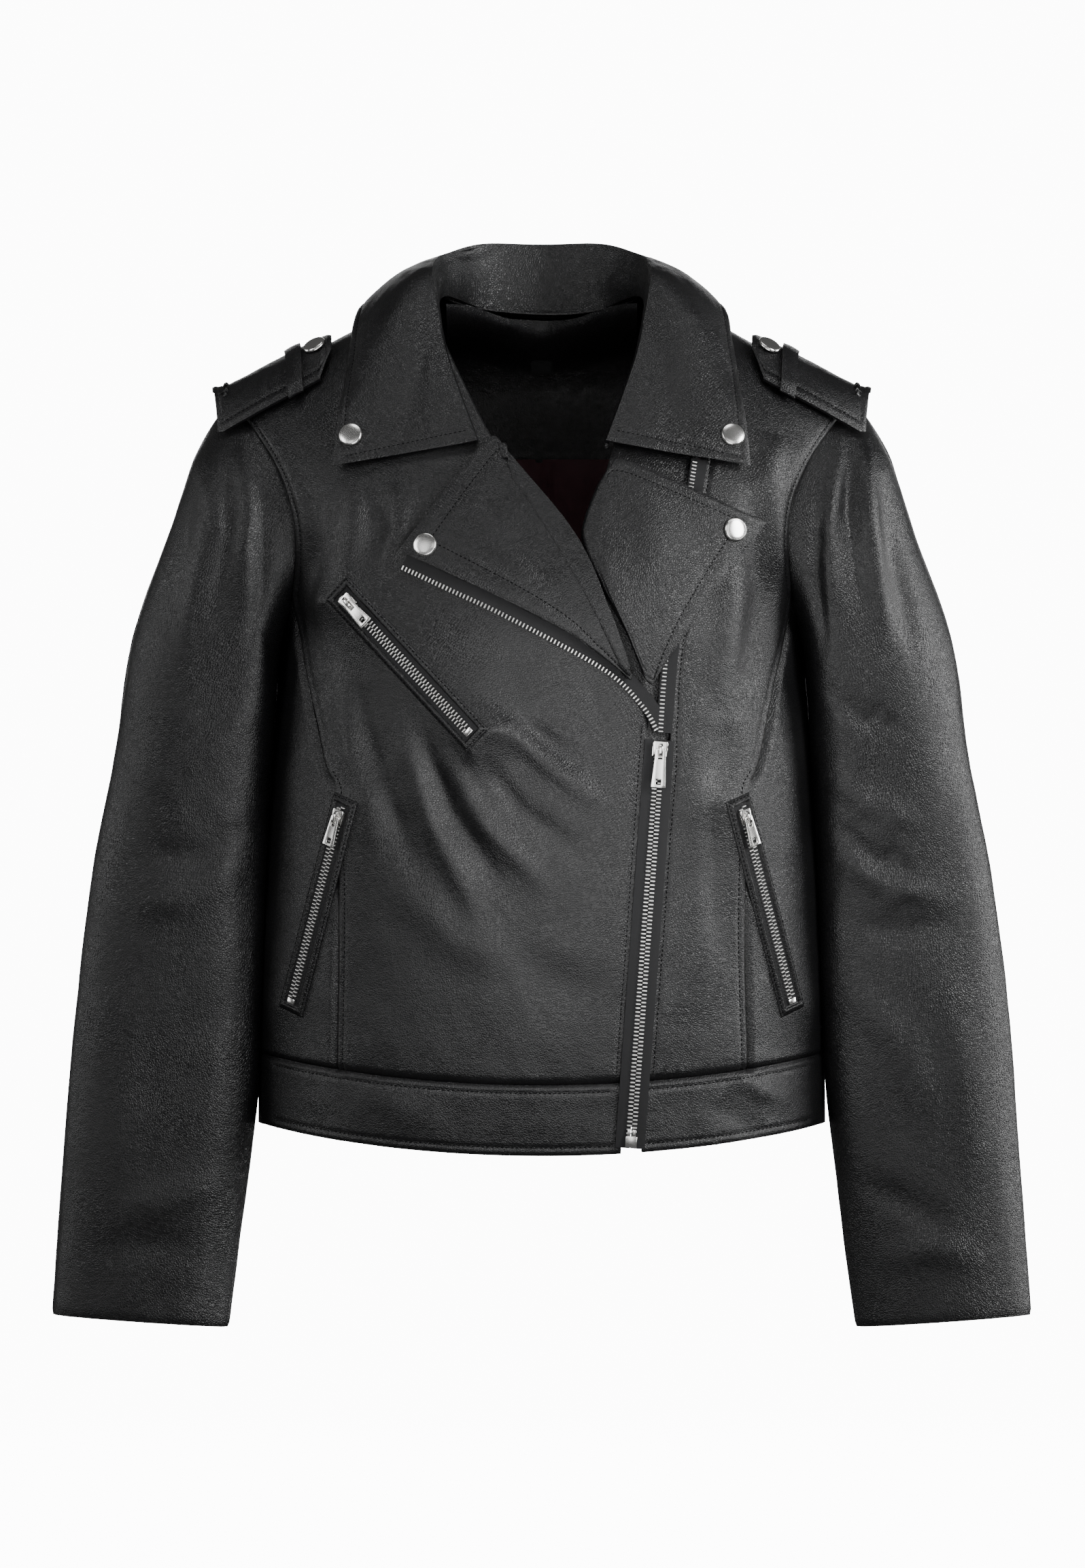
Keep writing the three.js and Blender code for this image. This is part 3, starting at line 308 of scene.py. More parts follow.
def leather_material(name, roughness=0.34):
    """Black nappa: a fine pebbled grain, softer wrinkles between, and a satin finish that varies a little."""
    m = bpy.data.materials.new(name)
    m.use_nodes = True
    nodes, links = m.node_tree.nodes, m.node_tree.links
    shader = nodes["Principled BSDF"]
    shader.inputs["Base Color"].default_value = leather_dark
    shader.inputs["Specular IOR Level"].default_value = 0.5
    place = nodes.new("ShaderNodeTexCoord").outputs["Object"]
    pebbles = nodes.new("ShaderNodeTexVoronoi")
    pebbles.feature = "DISTANCE_TO_EDGE"
    pebbles.inputs["Scale"].default_value = 720.0
    creases = nodes.new("ShaderNodeTexNoise")
    creases.inputs["Scale"].default_value = 300.0
    creases.inputs["Detail"].default_value = 5.0
    patches = nodes.new("ShaderNodeTexNoise")
    patches.inputs["Scale"].default_value = 26.0
    patches.inputs["Detail"].default_value = 3.0
    for texture in (pebbles, creases, patches):
        links.new(place, texture.inputs["Vector"])
    spread = nodes.new("ShaderNodeMapRange")
    spread.inputs["From Max"].default_value = 0.25
    links.new(pebbles.outputs["Distance"], spread.inputs["Value"])
    fine = nodes.new("ShaderNodeBump")
    fine.inputs["Strength"].default_value = 0.5
    fine.inputs["Distance"].default_value = 0.00026
    links.new(spread.outputs["Result"], fine.inputs["Height"])
    coarse = nodes.new("ShaderNodeBump")
    coarse.inputs["Strength"].default_value = 0.4
    coarse.inputs["Distance"].default_value = 0.0007
    links.new(creases.outputs["Fac"], coarse.inputs["Height"])
    links.new(fine.outputs["Normal"], coarse.inputs["Normal"])
    links.new(coarse.outputs["Normal"], shader.inputs["Normal"])
    shine = nodes.new("ShaderNodeMapRange")
    shine.inputs["From Min"].default_value = 0.3
    shine.inputs["From Max"].default_value = 0.7
    shine.inputs["To Min"].default_value = roughness - 0.05
    shine.inputs["To Max"].default_value = roughness + 0.08
    links.new(patches.outputs["Fac"], shine.inputs["Value"])
    links.new(shine.outputs["Result"], shader.inputs["Roughness"])
    return m


leather = leather_material("leather")


def finish_piece(name, mesh, material, body):
    o = bpy.data.objects.new(name, mesh)
    bpy.context.scene.collection.objects.link(o)
    o.data.materials.append(material)
    if body:
        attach(o, body)
    return o


def panel(name, place, columns, rows, thickness, outward, material=leather, body="root"):
    """A cut sheet: a grid moved to place(u, v), thickened away from outward, with its edges kept crisp."""
    bm = bmesh.new()
    bmesh.ops.create_grid(bm, x_segments=columns, y_segments=rows, size=0.5)
    mesh = bpy.data.meshes.new(name)
    bm.to_mesh(mesh)
    bm.free()
    co = np.zeros(len(mesh.vertices) * 3)
    mesh.vertices.foreach_get("co", co)
    uv = co.reshape(-1, 3)[:, :2] + 0.5
    mesh.vertices.foreach_set("co", (place(uv[:, 0], uv[:, 1]) * MM).ravel())
    mesh.update()
    normals = np.zeros(len(mesh.polygons) * 3)
    mesh.polygons.foreach_get("normal", normals)
    if normals.reshape(-1, 3).mean(0) @ np.array(outward, float) < 0:
        mesh.flip_normals()
    o = finish_piece(name, mesh, material, None)
    solid = o.modifiers.new("thickness", "SOLIDIFY")
    solid.thickness = thickness * MM
    solid.offset = -1
    made = bpy.data.meshes.new_from_object(o.evaluated_get(bpy.context.evaluated_depsgraph_get()))
    o.modifiers.clear()
    o.data = made
    made.shade_smooth()
    made.set_sharp_from_angle(angle=math.radians(50))
    if body:
        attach(o, body)
    return o


def calm_side(x, z):
    """Fades a relief out towards the side seam, where the front and the back meet edge to edge."""
    return smooth((half_width(z) - np.abs(x)) / 6)


def edge_roll(u, v, size_u, size_v, radius=1.6, depth=1.1):
    """How far a sheet's edge turns down, close to its rim."""
    near = np.minimum(np.minimum(u, 1 - u) * size_u, np.minimum(v, 1 - v) * size_v)
    return -depth * np.exp(-((near / radius) ** 2))


dense_top = lambda v: np.sin(v * math.pi / 2)
right_inner = line(
    (float(zip_x(-495)) - leather_edge, float(waist_front_z(54)) - waist_tuck),
    (float(zip_x(-376)) - leather_edge, -376),
    (75 - leather_edge, -276),
    (60, -244),
    (22, -170),
    (-24, -96),
    (-60, -24),
    (-72, 16),
)


def waist_line(a, b):
    return lambda u: np.stack([lerp(a, b, u), waist_front_z(lerp(a, b, u)) - waist_tuck], -1)


right_outline = patch(
    waist_line(-133, float(zip_x(-495)) - leather_edge),
    lambda u: mirror(-1, shoulder_line)(1 - u),
    mirror(-1, front_outer),
    right_inner,
)


def front_sheet(outline, rows, dense=True):
    def place(u, v):
        p = outline(u, dense_top(v) if dense else v)
        lift = front_relief(p[:, 0], p[:, 1], rows) + edge_roll(u, v, 190, 480)
        return on_surface(front_y, -1, p[:, 0], p[:, 1], lift)

    return place


front = panel("front_right", front_sheet(right_outline, right_folds), 150, 230, 1.6, (0, -1, 0))
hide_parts("front_right")

# ---- Left front, from the main zip to the princess seam ----
# The narrower centre panel: the zip's other half is sewn under its inner edge all the way to the neck.
left_folds = [
    ([(118, -120), (122, -190), (112, -262)], 9, 2.4),
    ([(134, -110), (140, -180), (130, -250)], 8, -2.2),
    ([(150, -100), (152, -170), (148, -230)], 7, 2.0),
    ([(100, -240), (94, -300), (104, -360)], 12, 1.8),
    ([(120, -260), (112, -330), (108, -400)], 10, -1.6),
    ([(98, -330), (100, -400), (92, -460)], 14, 1.4),
    ([(180, -80), (166, -120), (160, -170)], 6, -1.6),
    ([(150, -78), (146, -100), (140, -120)], 8, 1.6),
]
left_inner = line(
    (float(zip_x(-495)) + leather_edge, float(waist_front_z(66)) - waist_tuck),
    (float(zip_x(-376)) + leather_edge, -376),
    (75 + leather_edge, -276),
    (88, -190),
    (102, -96),
    (88, -30),
    (72, 16),
)
left_waist = waist_line(float(zip_x(-495)) + leather_edge, 133)
left_outline = patch(left_waist, shoulder_line, left_inner, front_outer)
front = panel("front_left", front_sheet(left_outline, left_folds), 80, 230, 1.6, (0, -1, 0))
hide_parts("front_left")

# ---- Side fronts, from the princess seams round to the side seams ----
# Narrow shaped panels that carry the hip pockets' outer halves.
side_folds = [
    ([(150, -250), (158, -300), (162, -360)], 8, 1.2),
    ([(160, -420), (150, -450), (146, -480)], 9, -1.0),
]


def side_sheet(side, surface, waist, seam, top, rows):
    lowest = float(waist(hem_half)) - waist_tuck
    side_line = lambda v: np.stack([half_width(lerp(lowest, -203, v)) - 0.01, lerp(lowest, -203, v)], -1)
    foot_x = seam(np.zeros(1))[0, 0]
    last_x = side_line(np.zeros(1))[0, 0]
    bottom = lambda u: np.stack([lerp(foot_x, last_x, u), waist(lerp(foot_x, last_x, u)) - waist_tuck], -1)
    outline = patch(bottom, top, seam, side_line)

    def place(u, v):
        p = outline(np.sin(u * math.pi / 2), v)
        x = side * p[:, 0]
        if surface is front_y:
            lift = front_relief(x, p[:, 1], rows)
            sign = -1
        else:
            lift = back_relief(x, p[:, 1])
            sign = 1
        lift = (lift + edge_roll(u, v, 60, 290)) * calm_side(x, p[:, 1])
        at = on_surface(surface, sign, x, p[:, 1], lift)
        at[:, 0] = side * np.minimum(np.abs(at[:, 0]), half_width(p[:, 1]) + 1.0)
        return at

    return place


for side, word in ((-1, "right"), (1, "left")):
    top = lambda u: lerp(princess(np.ones(1)), np.array([[167.8, -203.0]]), np.asarray(u)[..., None])
    mirrored = [([(side * x, z) for x, z in places], w, h) for places, w, h in side_folds]
    o = panel(
        "side_front_" + word,
        side_sheet(side, front_y, waist_front_z, princess, top, mirrored),
        60,
        170,
        1.6,
        (side * 0.5, -1, 0),
    )
    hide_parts("side_front_" + word)

# ---- Back: a centre panel between two curved side backs ----
# The same leather, shaped by two long curved seams with a topstitched row beside each.


def hem_back_z(x):
    return -541 + 18 - 8 * (1 - np.clip(np.abs(x) / hem_half, 0, 1) ** 2)


def waist_back_z(x):
    return hem_back_z(x) + band_height


back_seam = line((92, float(waist_back_z(92)) - waist_tuck), (98, -333), (128, -213), (162, -147))
back_armhole = line((162, -147), (167, -102), (203, -52))
back_outer = end_to_end(back_seam, back_armhole, 0.66)
back_rows = {
    "seam_left": back_seam(full) + [-5, 0],
    "seam_right": back_seam(full) * [-1, 1] + [5, 0],
    "armhole_left": back_armhole(full) + [-5.5, -1.5],
    "armhole_right": back_armhole(full) * [-1, 1] + [5.5, -1.5],
    "band": np.array([(x, float(waist_back_z(x)) - 5) for x in np.linspace(-172, 172, 90)]),
    "hem": np.array([(x, float(hem_back_z(x)) + 5.2) for x in np.linspace(-172, 172, 90)]),
}
back_seams = [
    back_outer(full),
    back_outer(full) * [-1, 1],
    np.array([(x, float(waist_back_z(x))) for x in np.linspace(-hem_half, hem_half, 60)]),
]
back_folds = [
    ([(-150, -120), (-120, -170), (-60, -190)], 12, 2.0),
    ([(150, -120), (118, -172), (56, -196)], 12, 2.0),
    ([(-60, -230), (-70, -330), (-62, -440)], 16, 1.8),
    ([(10, -260), (4, -360), (14, -470)], 18, -1.6),
    ([(70, -240), (66, -340), (76, -440)], 14, 1.6),
]


def back_relief(x, z):
    lift = 1.0 * waves(x, z, 11, 110) + folds(x, z, back_folds)
    for places in back_rows.values():
        near, _ = distance_to(x, z, places)
        lift = lift - 0.55 * np.exp(-((near / 1.3) ** 2))
    for places in back_seams:
        near, _ = distance_to(x, z, places)
        lift = lift - 2.0 * np.exp(-((near / 1.9) ** 2))
    return lift


def back_neck(u):
    x = lerp(-203, 203, np.asarray(u, float))
    return np.stack([x, shoulder_seam_z(x) - 12 * (1 - np.clip(np.abs(x) / 72, 0, 1) ** 2)], -1)


back_outline = patch(
    lambda u: np.stack([lerp(-92, 92, u), waist_back_z(lerp(-92, 92, u)) - waist_tuck], -1),
    back_neck,
    mirror(-1, back_outer),
    back_outer,
)


def back_sheet(u, v):
    p = back_outline(u, dense_top(v))
    lift = back_relief(p[:, 0], p[:, 1]) + edge_roll(u, v, 300, 490)
    return on_surface(back_y, 1, p[:, 0], p[:, 1], lift)


o = panel("back_centre", back_sheet, 150, 170, 1.6, (0, 1, 0))
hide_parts("back_centre")
for side, word in ((-1, "right"), (1, "left")):
    top = line((162, -147), (161, -178), (167.7, -203))
    o = panel(
        "side_back_" + word,
        side_sheet(side, back_y, waist_back_z, back_seam, top, None),
        50,
        130,
        1.6,
        (side * 0.5, 1, 0),
    )
    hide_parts("side_back_" + word)

# ---- Waistband: two fronts and a back ----
# A doubled strip of leather, topstitched under the waist seam and above the folded hem.
band_folds = [
    ([(120, -488), (140, -500), (160, -512)], 7, 1.0),
    ([(108, -510), (128, -520), (146, -528)], 8, -0.9),
    ([(-120, -500), (-90, -512), (-60, -520)], 10, 0.8),
]


def band_sheet(x_of, surface, hem, relief, sign):
    def place(u, v):
        x = x_of(u)
        z = lerp(hem(x), hem(x) + band_height, v)
        x = x * (half_width(z) - 0.01) / hem_half
        near_hem = np.exp(-((v * band_height / 1.5) ** 2))
        lift = (relief(x, z) - 0.9 * near_hem) * calm_side(x, z)
        return on_surface(surface, sign, x, z, lift)

    return place


def band_relief(x, z):
    return front_relief(x, z, band_folds)


def band_front(inner, side):
    return lambda u: lerp(inner, side * hem_half, np.sin(u * math.pi / 2))


for side, word, inner in (
    (-1, "right", float(zip_x(-518)) - leather_edge),
    (1, "left", float(zip_x(-518)) + leather_edge),
):
    o = panel(
        "waistband_" + word,
        band_sheet(band_front(inner, side), front_y, hem_front_z, band_relief, -1),
        130,
        36,
        2.4,
        (0, -1, 0),
    )
    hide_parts("waistband_" + word)
o = panel(
    "waistband_back",
    band_sheet(lambda u: hem_half * np.sin((u - 0.5) * math.pi), back_y, hem_back_z, back_relief, 1),
    170,
    30,
    2.4,
    (0, 1, 0),
)
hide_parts("waistband_back")

# ---- Underlap of the left front, inside the neck opening ----
# The left front's edge between the open row of teeth and the lapel's fold: the same leather, laid flat.
under_outline = patch(
    lambda u: lerp(np.array([66.0, -300.0]), np.array([82.0, -300.0]), np.asarray(u)[..., None]),
    lambda u: lerp(np.array([66.0, -14.0]), np.array([74.0, -11.0]), np.asarray(u)[..., None]),
    line((66, -300), (59, -242), (34, -190), (29, -160), (38, -115), (66, -14)),
    line((82, -300), (88, -190), (98, -96), (74, -11)),
)


def under_sheet(u, v):
    p = under_outline(u, v)
    return on_surface(front_y, -1, p[:, 0], p[:, 1], -3.4 + edge_roll(u, v, 60, 250))


o = panel("underlap_left", under_sheet, 40, 120, 1.4, (0, -1, 0))
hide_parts("underlap_left")

# ---- Lapels, folded back on the chest and held by a snap each ----
# Two layers of leather turned back at the roll line: the zip's tape is sewn under the right one's edge.
fold_radius = 4.0


def lapel_sheet(outline, size_u, size_v, seed, rows, lift=6.2):
    """A lapel from its edge (u 0) to the fold, where it turns round and ends inside."""

    def place(u, v):
        flat_share = 0.86
        on_top = np.minimum(u / flat_share, 1.0)
        turn = np.clip((u - flat_share) / (1 - flat_share), 0, 1) * math.pi * 0.9
        radius = fold_radius * smooth(np.minimum(v, 1 - v) * 9 + 0.12)
        p = outline(on_top, v)
        ahead = outline(np.full(len(u), 1.0), v) - outline(np.full(len(u), 0.97), v)
        ahead = unit(ahead)
        x = p[:, 0] + ahead[:, 0] * radius * np.sin(turn)
        z = p[:, 1] + ahead[:, 1] * radius * np.sin(turn)
        swell = 1.6 * np.sin(math.pi * np.clip(on_top, 0, 1)) * np.sin(math.pi * v)
        down = radius * (1 - np.cos(turn))
        relief = 0.5 * waves(x, z, seed, 60) + folds(x, z, rows)
        near = np.minimum(u / flat_share * size_u, np.minimum(v, 1 - v) * size_v)
        relief = relief - 0.55 * np.exp(-(((near - 6.5) / 1.2) ** 2)) - 0.9 * np.exp(-((near / 1.4) ** 2))
        return on_surface(front_y, -1, x, z, lift + swell + relief - down)

    return place


right_tip, left_tip = (-90, -156), (141, -137)
right_edge = line(right_tip, (4, -201), (35, -221), (56, -238))
right_fold = line((-24, -96), (22, -170), (57, -236))
right_lapel = patch(
    lambda u: lerp(right_edge(np.ones(1)), right_fold(np.ones(1)), np.asarray(u)[..., None]),
    line(right_tip, (-36, -87), (-24, -96)),
    lambda v: right_edge(1 - v),
    lambda v: right_fold(1 - v),
)
left_edge = line(left_tip, (92, -205), (69, -241))
left_fold = line((44, -102), (29, -144), (39, -178), (55, -211), (66, -239))
left_lapel = patch(
    lambda u: lerp(left_edge(np.ones(1)), left_fold(np.ones(1)), np.asarray(u)[..., None]),
    line(left_tip, (58, -101), (44, -102)),
    lambda v: left_edge(1 - v),
    lambda v: left_fold(1 - v),
)
right_lapel_folds = [
    ([(-30, -110), (-52, -130), (-70, -140)], 7, 1.2),
    ([(-20, -130), (0, -170), (30, -205)], 9, -1.0),
    ([(-50, -150), (-20, -170), (10, -190)], 10, 0.8),
]
left_lapel_folds = [
    ([(60, -112), (72, -150), (70, -190)], 10, 1.2),
    ([(84, -118), (100, -150), (98, -180)], 9, -1.0),
]
sheet = lapel_sheet(right_lapel, 60, 110, 21, right_lapel_folds)
o = panel("lapel_right", sheet, 110, 120, 2.2, (0, -1, 0), body=None)
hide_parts("lapel_right")
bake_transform(o)
sheet = lapel_sheet(left_lapel, 60, 110, 22, left_lapel_folds)
o = panel("lapel_left", sheet, 110, 120, 2.2, (0, -1, 0), body=None)
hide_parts("lapel_left")
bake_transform(o)

# ---- Collar: one folded band of leather round the neck ----
# It rises from the neck seam, rolls over at the fold and falls to its outer edge and pointed leaves.
fold_z = 50
collar_rows = [
    [(0, 68, 4), (0, 73, fold_z), (0, 92, fold_z - 8), (0, 108, fold_z - 60)],
    [(34, 58, 6), (38, 63, fold_z), (50, 82, fold_z - 10), (66, 92, fold_z - 56)],
    [(54, 36, 12), (60, 38, fold_z - 7), (80, 52, fold_z - 14), (106, 56, -6)],
    [(64, 6, 12), (69, 8, fold_z - 14), (92, 10, fold_z - 16), (120, 6, 4)],
    [(66, -20, -2), (70, -24, fold_z - 30), (97, -36, fold_z - 36), (126, -36, -34)],
    [(58, -44, -44), (60, -50, -28), (92, -66, -40), (131, -66, -68)],
    [(41, -76, -90), (40, -79, -84), (86, -92, -92), (134, -78, -100)],
]


def collar_rail(k):
    """One line round the whole collar, so that it is smooth at the back; from the back (0) to a tip (1)."""
    half = [row[k] for row in collar_rows]
    whole = line(*[(-x, y, z) for x, y, z in half[:0:-1]], *half)
    return lambda t: whole(0.5 + np.asarray(t) / 2)


rails = [collar_rail(k) for k in range(4)]


def collar_place(around, down):
    """around runs from the left tip (0) by the back (0.5) to the right tip (1). down is 0 at the fold,
    1 at the outer edge and -1 at the neck seam."""
    side = np.where(around < 0.5, 1.0, -1.0)
    t = np.abs(around - 0.5) * 2
    seam, fold, crown, edge = (rail(t) for rail in rails)
    d = np.clip(down, 0, 1)[:, None]
    fall = fold * (1 - d) ** 2 + crown * 2 * (1 - d) * d + edge * d**2
    up = np.clip(-down, 0, 1)[:, None]
    stand = lerp(fold, seam, up) + np.sin(math.pi * up) * 1.5 * unit(fold * [-1, -1, 0])
    p = np.where(down[:, None] >= 0, fall, stand)
    over = p[:, 2] < shoulder_seam_z(p[:, 0])
    clear = 6.8
    in_front = np.minimum(p[:, 1], front_y(p[:, 0], p[:, 2]) - clear)
    behind = np.maximum(p[:, 1], back_y(p[:, 0], p[:, 2]) + clear)
    lying = np.where(p[:, 1] < 5, in_front, behind)
    p[:, 1] = np.where(over & (down >= 0), lying, p[:, 1])
    p[:, 0] *= side
    return p


def with_relief(place, relief, outward):
    """place raised along its own outward direction by relief, which is worked out from u and v."""

    def at(u, v):
        e = 1e-3
        across = place(np.minimum(u + e, 1), v) - place(np.maximum(u - e, 0), v)
        along = place(u, np.minimum(v + e, 1)) - place(u, np.maximum(v - e, 0))
        normal = unit(np.cross(across, along))
        middle = normal[np.argmin(np.abs(u - 0.5) + np.abs(v - 0.5))]
        if middle @ np.array(outward, float) < 0:
            normal = -normal
        return place(u, v) + normal * relief(u, v)[:, None]

    return at


fold_share = 0.3


def collar_sheet(u, v):
    down = np.where(v < fold_share, v / fold_share - 1, (v - fold_share) / (1 - fold_share))
    return collar_place(u, down)


def collar_relief(u, v):
    down = np.where(v < fold_share, v / fold_share - 1, (v - fold_share) / (1 - fold_share))
    t = np.abs(u - 0.5) * 2
    edge_near = np.minimum((1 - down) * lerp(62, 100, t), (1 - t) * 205)
    lift = 0.6 * waves((u - 0.5) * 400, down * 60, 31, 55)
    lift = lift - 0.55 * np.exp(-(((edge_near - 6.5) / 1.2) ** 2)) * (down > 0)
    lift = lift - 0.9 * np.exp(-((edge_near / 1.4) ** 2))
    dent, _ = distance_to(u * 400, down * 60, [(246, -6), (240, 14), (250, 40)])
    return (lift - 1.8 * np.exp(-((dent / 9) ** 2))) * smooth(np.abs(down) / 0.12)


o = panel("collar", with_relief(collar_sheet, collar_relief, (0, 0.3, 1)), 300, 110, 2.2, (0, 0.5, 1))
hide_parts("collar_fall", "collar_stand")

# ---- Inside: neck facing, lining, hanger patch and tag ----
# The facing is leather down to a pinked and stitched edge; the woven lining hangs from it with a pleat.


def inside_back(x, z, depth):
    return on_surface(back_y, 1, x, z, -depth)


def facing_sheet(u, v):
    x = lerp(-62, 62, u)
    seam = rails[0](np.abs(x) / 62 * 0.46)
    z = lerp(-92, seam[:, 2] + 0.5, v)
    p = inside_back(x, z, 5.6 + 0.5 * waves(x, z, 41, 45) + 0.3 * np.exp(-((z + 89) ** 2) / 4))
    p[:, 1] = lerp(p[:, 1], seam[:, 1] - 1.2, smooth((z - seam[:, 2] + 34) / 34))
    return p


o = panel("neck_facing", facing_sheet, 90, 70, 1.2, (0, -1, 0))
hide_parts("neck_facing")

lining_cloth = bpy.data.materials.new("lining")
lining_cloth.use_nodes = True
tree = lining_cloth.node_tree
shader = tree.nodes["Principled BSDF"]
shader.inputs["Base Color"].default_value = (0.06, 0.014, 0.02, 1)
shader.inputs["Roughness"].default_value = 0.55
shader.inputs["Sheen Weight"].default_value = 0.3
shader.inputs["Sheen Roughness"].default_value = 0.4
weave = tree.nodes.new("ShaderNodeTexWave")
weave.inputs["Scale"].default_value = 900.0
weave.inputs["Distortion"].default_value = 1.0
tree.links.new(tree.nodes.new("ShaderNodeTexCoord").outputs["Object"], weave.inputs["Vector"])
bump = tree.nodes.new("ShaderNodeBump")
bump.inputs["Strength"].default_value = 0.3
bump.inputs["Distance"].default_value = 0.0002
tree.links.new(weave.outputs["Fac"], bump.inputs["Height"])
tree.links.new(bump.outputs["Normal"], shader.inputs["Normal"])


def lining_back(u, v):
    z = lerp(-496, -90, v)
    x = lerp(-1, 1, u) * np.minimum(half_width(z), 168.0) * 0.93
    pleat = 2.2 * np.exp(-(((x - 4) / 2.2) ** 2)) - 1.6 * np.exp(-(((x + 2) / 3.0) ** 2))
    drape = 1.4 * waves(x, z * 0.25, 51, 38, 2) + 0.5 * waves(x, z, 52, 18, 2)
    return inside_back(x, z, 6.2 + pleat * smooth((v - 0.1) * 3) + drape)


o = panel("lining_back", lining_back, 130, 120, 0.6, (0, -1, 0), lining_cloth)
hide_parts("lining_back")
for side, word in ((-1, "right"), (1, "left")):

    def lining_front(u, v, side=side):
        z = lerp(-478, -203, v)
        inner = -24 if side < 0 else zip_x(z) + 14
        x = side * lerp(inner, half_width(z) * 0.96 - 10, u)
        return on_surface(front_y, -1, x, z, -6.2 - 0.8 * (1 + waves(x, z * 0.3, 53, 40, 2)))

    o = panel("lining_front_" + word, lining_front, 60, 60, 0.6, (0, 1, 0), lining_cloth)
    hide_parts("lining_front_" + word)
for name, x0, x1, top, bottom in (
    ("chest_pocket_bag", -132, -30, -193, -303),
    ("hip_pocket_bag_right", -150, -78, -323, -466),
    ("hip_pocket_bag_left", 78, 150, -323, -466),
):
    bag = lambda u, v: on_surface(front_y, -1, lerp(x0, x1, u), lerp(bottom, top, v), -9.5)
    o = panel(name, bag, 24, 30, 1.2, (0, 1, 0), lining_cloth)
    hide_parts(name)

tape_cloth = bpy.data.materials.new("tape")
tape_cloth.use_nodes = True
tree = tape_cloth.node_tree
shader = tree.nodes["Principled BSDF"]
shader.inputs["Base Color"].default_value = (0.009, 0.009, 0.01, 1)
shader.inputs["Roughness"].default_value = 0.8
weave = tree.nodes.new("ShaderNodeTexChecker")
weave.inputs["Scale"].default_value = 1800.0
tree.links.new(tree.nodes.new("ShaderNodeTexCoord").outputs["Object"], weave.inputs["Vector"])
bump = tree.nodes.new("ShaderNodeBump")
bump.inputs["Strength"].default_value = 0.3
bump.inputs["Distance"].default_value = 0.0002
tree.links.new(weave.outputs["Fac"], bump.inputs["Height"])
tree.links.new(bump.outputs["Normal"], shader.inputs["Normal"])
for name, width, height, drop in (("hanger_loop_patch", 50, 9, 9), ("care_tag", 14, 12, 18.5)):

    def label(u, v):
        x = lerp(-width / 2, width / 2, u)
        z = lerp(-drop - height, -drop, v)
        bow = 0.4 * np.cos((u - 0.5) * math.pi)
        return inside_back(x, z, 8.2 + bow)

    o = panel(name, label, 30, 8, 0.7, (0, -1, 0), tape_cloth)
    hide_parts(name)

# ---- Sleeves: a top and an under piece each ----
# Two-piece sleeves sewn into the armholes; they hang with long soft folds.
sleeve_outer = line(
    (208, -60),
    (223, -86),
    (238, -130),
    (265, -208),
    (277.1, -284.3),
    (291.9, -365.6),
    (305.6, -487.1),
    (317, -647),
)
sleeve_inner = line((168, -202), (170, -233), (173, -283), (177, -365.6), (182, -487.1), (202, -655))
armhole_front = line((203, -52), (175, -95), (162, -132), (161, -162), (164, -183), (167.7, -203))


def side_x(y, z):
    """How far out the body's side is at a depth y, so that a hanging sleeve can lie against it."""
    depth = np.where(y < 5, lerp(122.0, 112.0, np.clip((-215 - z) / 326, 0, 1)), 104.0)
    inside = np.clip(1 - (np.abs(y - 5) / depth) ** 2, 0, 1) ** (1 / 2.4)
    return np.where(z > hem_front_z(float(hem_half)) - 4, half_width(z) * inside, 0)


def sleeve_place(angle, s):
    """A place on the left sleeve: angle 0 is its outer side, pi / 2 its front and pi its inner side."""
    outer, inner = sleeve_outer(s), sleeve_inner(s)
    middle, half = (outer + inner) / 2, (outer - inner) / 2
    turn = np.where(angle > math.pi, 2 * math.pi - angle, angle)
    behind = angle > math.pi
    depth = lerp(62.0, 24.0, smooth(s * 1.05)) * np.sin(turn) ** 0.9
    against = np.where(np.cos(turn) < 0, lerp(0.5, 1.0, smooth((s - 0.86) / 0.14)), 1.0)
    across = np.sign(np.cos(turn)) * np.abs(np.cos(turn)) ** against
    ring = np.stack(
        [
            middle[:, 0] + half[:, 0] * across,
            5 - 16 * s * s + np.where(behind, 1, -1) * depth,
            middle[:, 1] + half[:, 1] * across,
        ],
        -1,
    )
    hole = armhole_front(turn / math.pi)
    hole_y = np.where(behind, back_y(hole[:, 0], hole[:, 1]), front_y(hole[:, 0], hole[:, 1]))
    crown = np.where(turn < math.pi / 2, np.cos(turn) ** 30, 0)
    tuck = 3.5 * np.sqrt(np.sin(turn))
    mouth_y = hole_y + np.where(behind, -tuck, tuck)
    mouth_x = hole[:, 0] - 7 * np.sqrt(np.sin(turn)) + crown * 3
    mouth = np.stack([mouth_x, mouth_y, hole[:, 1] - crown * 6], -1)
    p = lerp(mouth, ring, smooth(s * 5.5)[:, None])
    beside = smooth((-215 - p[:, 2]) / 30)
    body_side = side_x(p[:, 1], p[:, 2]) + 0.5
    p[:, 0] = np.where(p[:, 0] < body_side, lerp(p[:, 0], body_side, beside), p[:, 0])
    return p


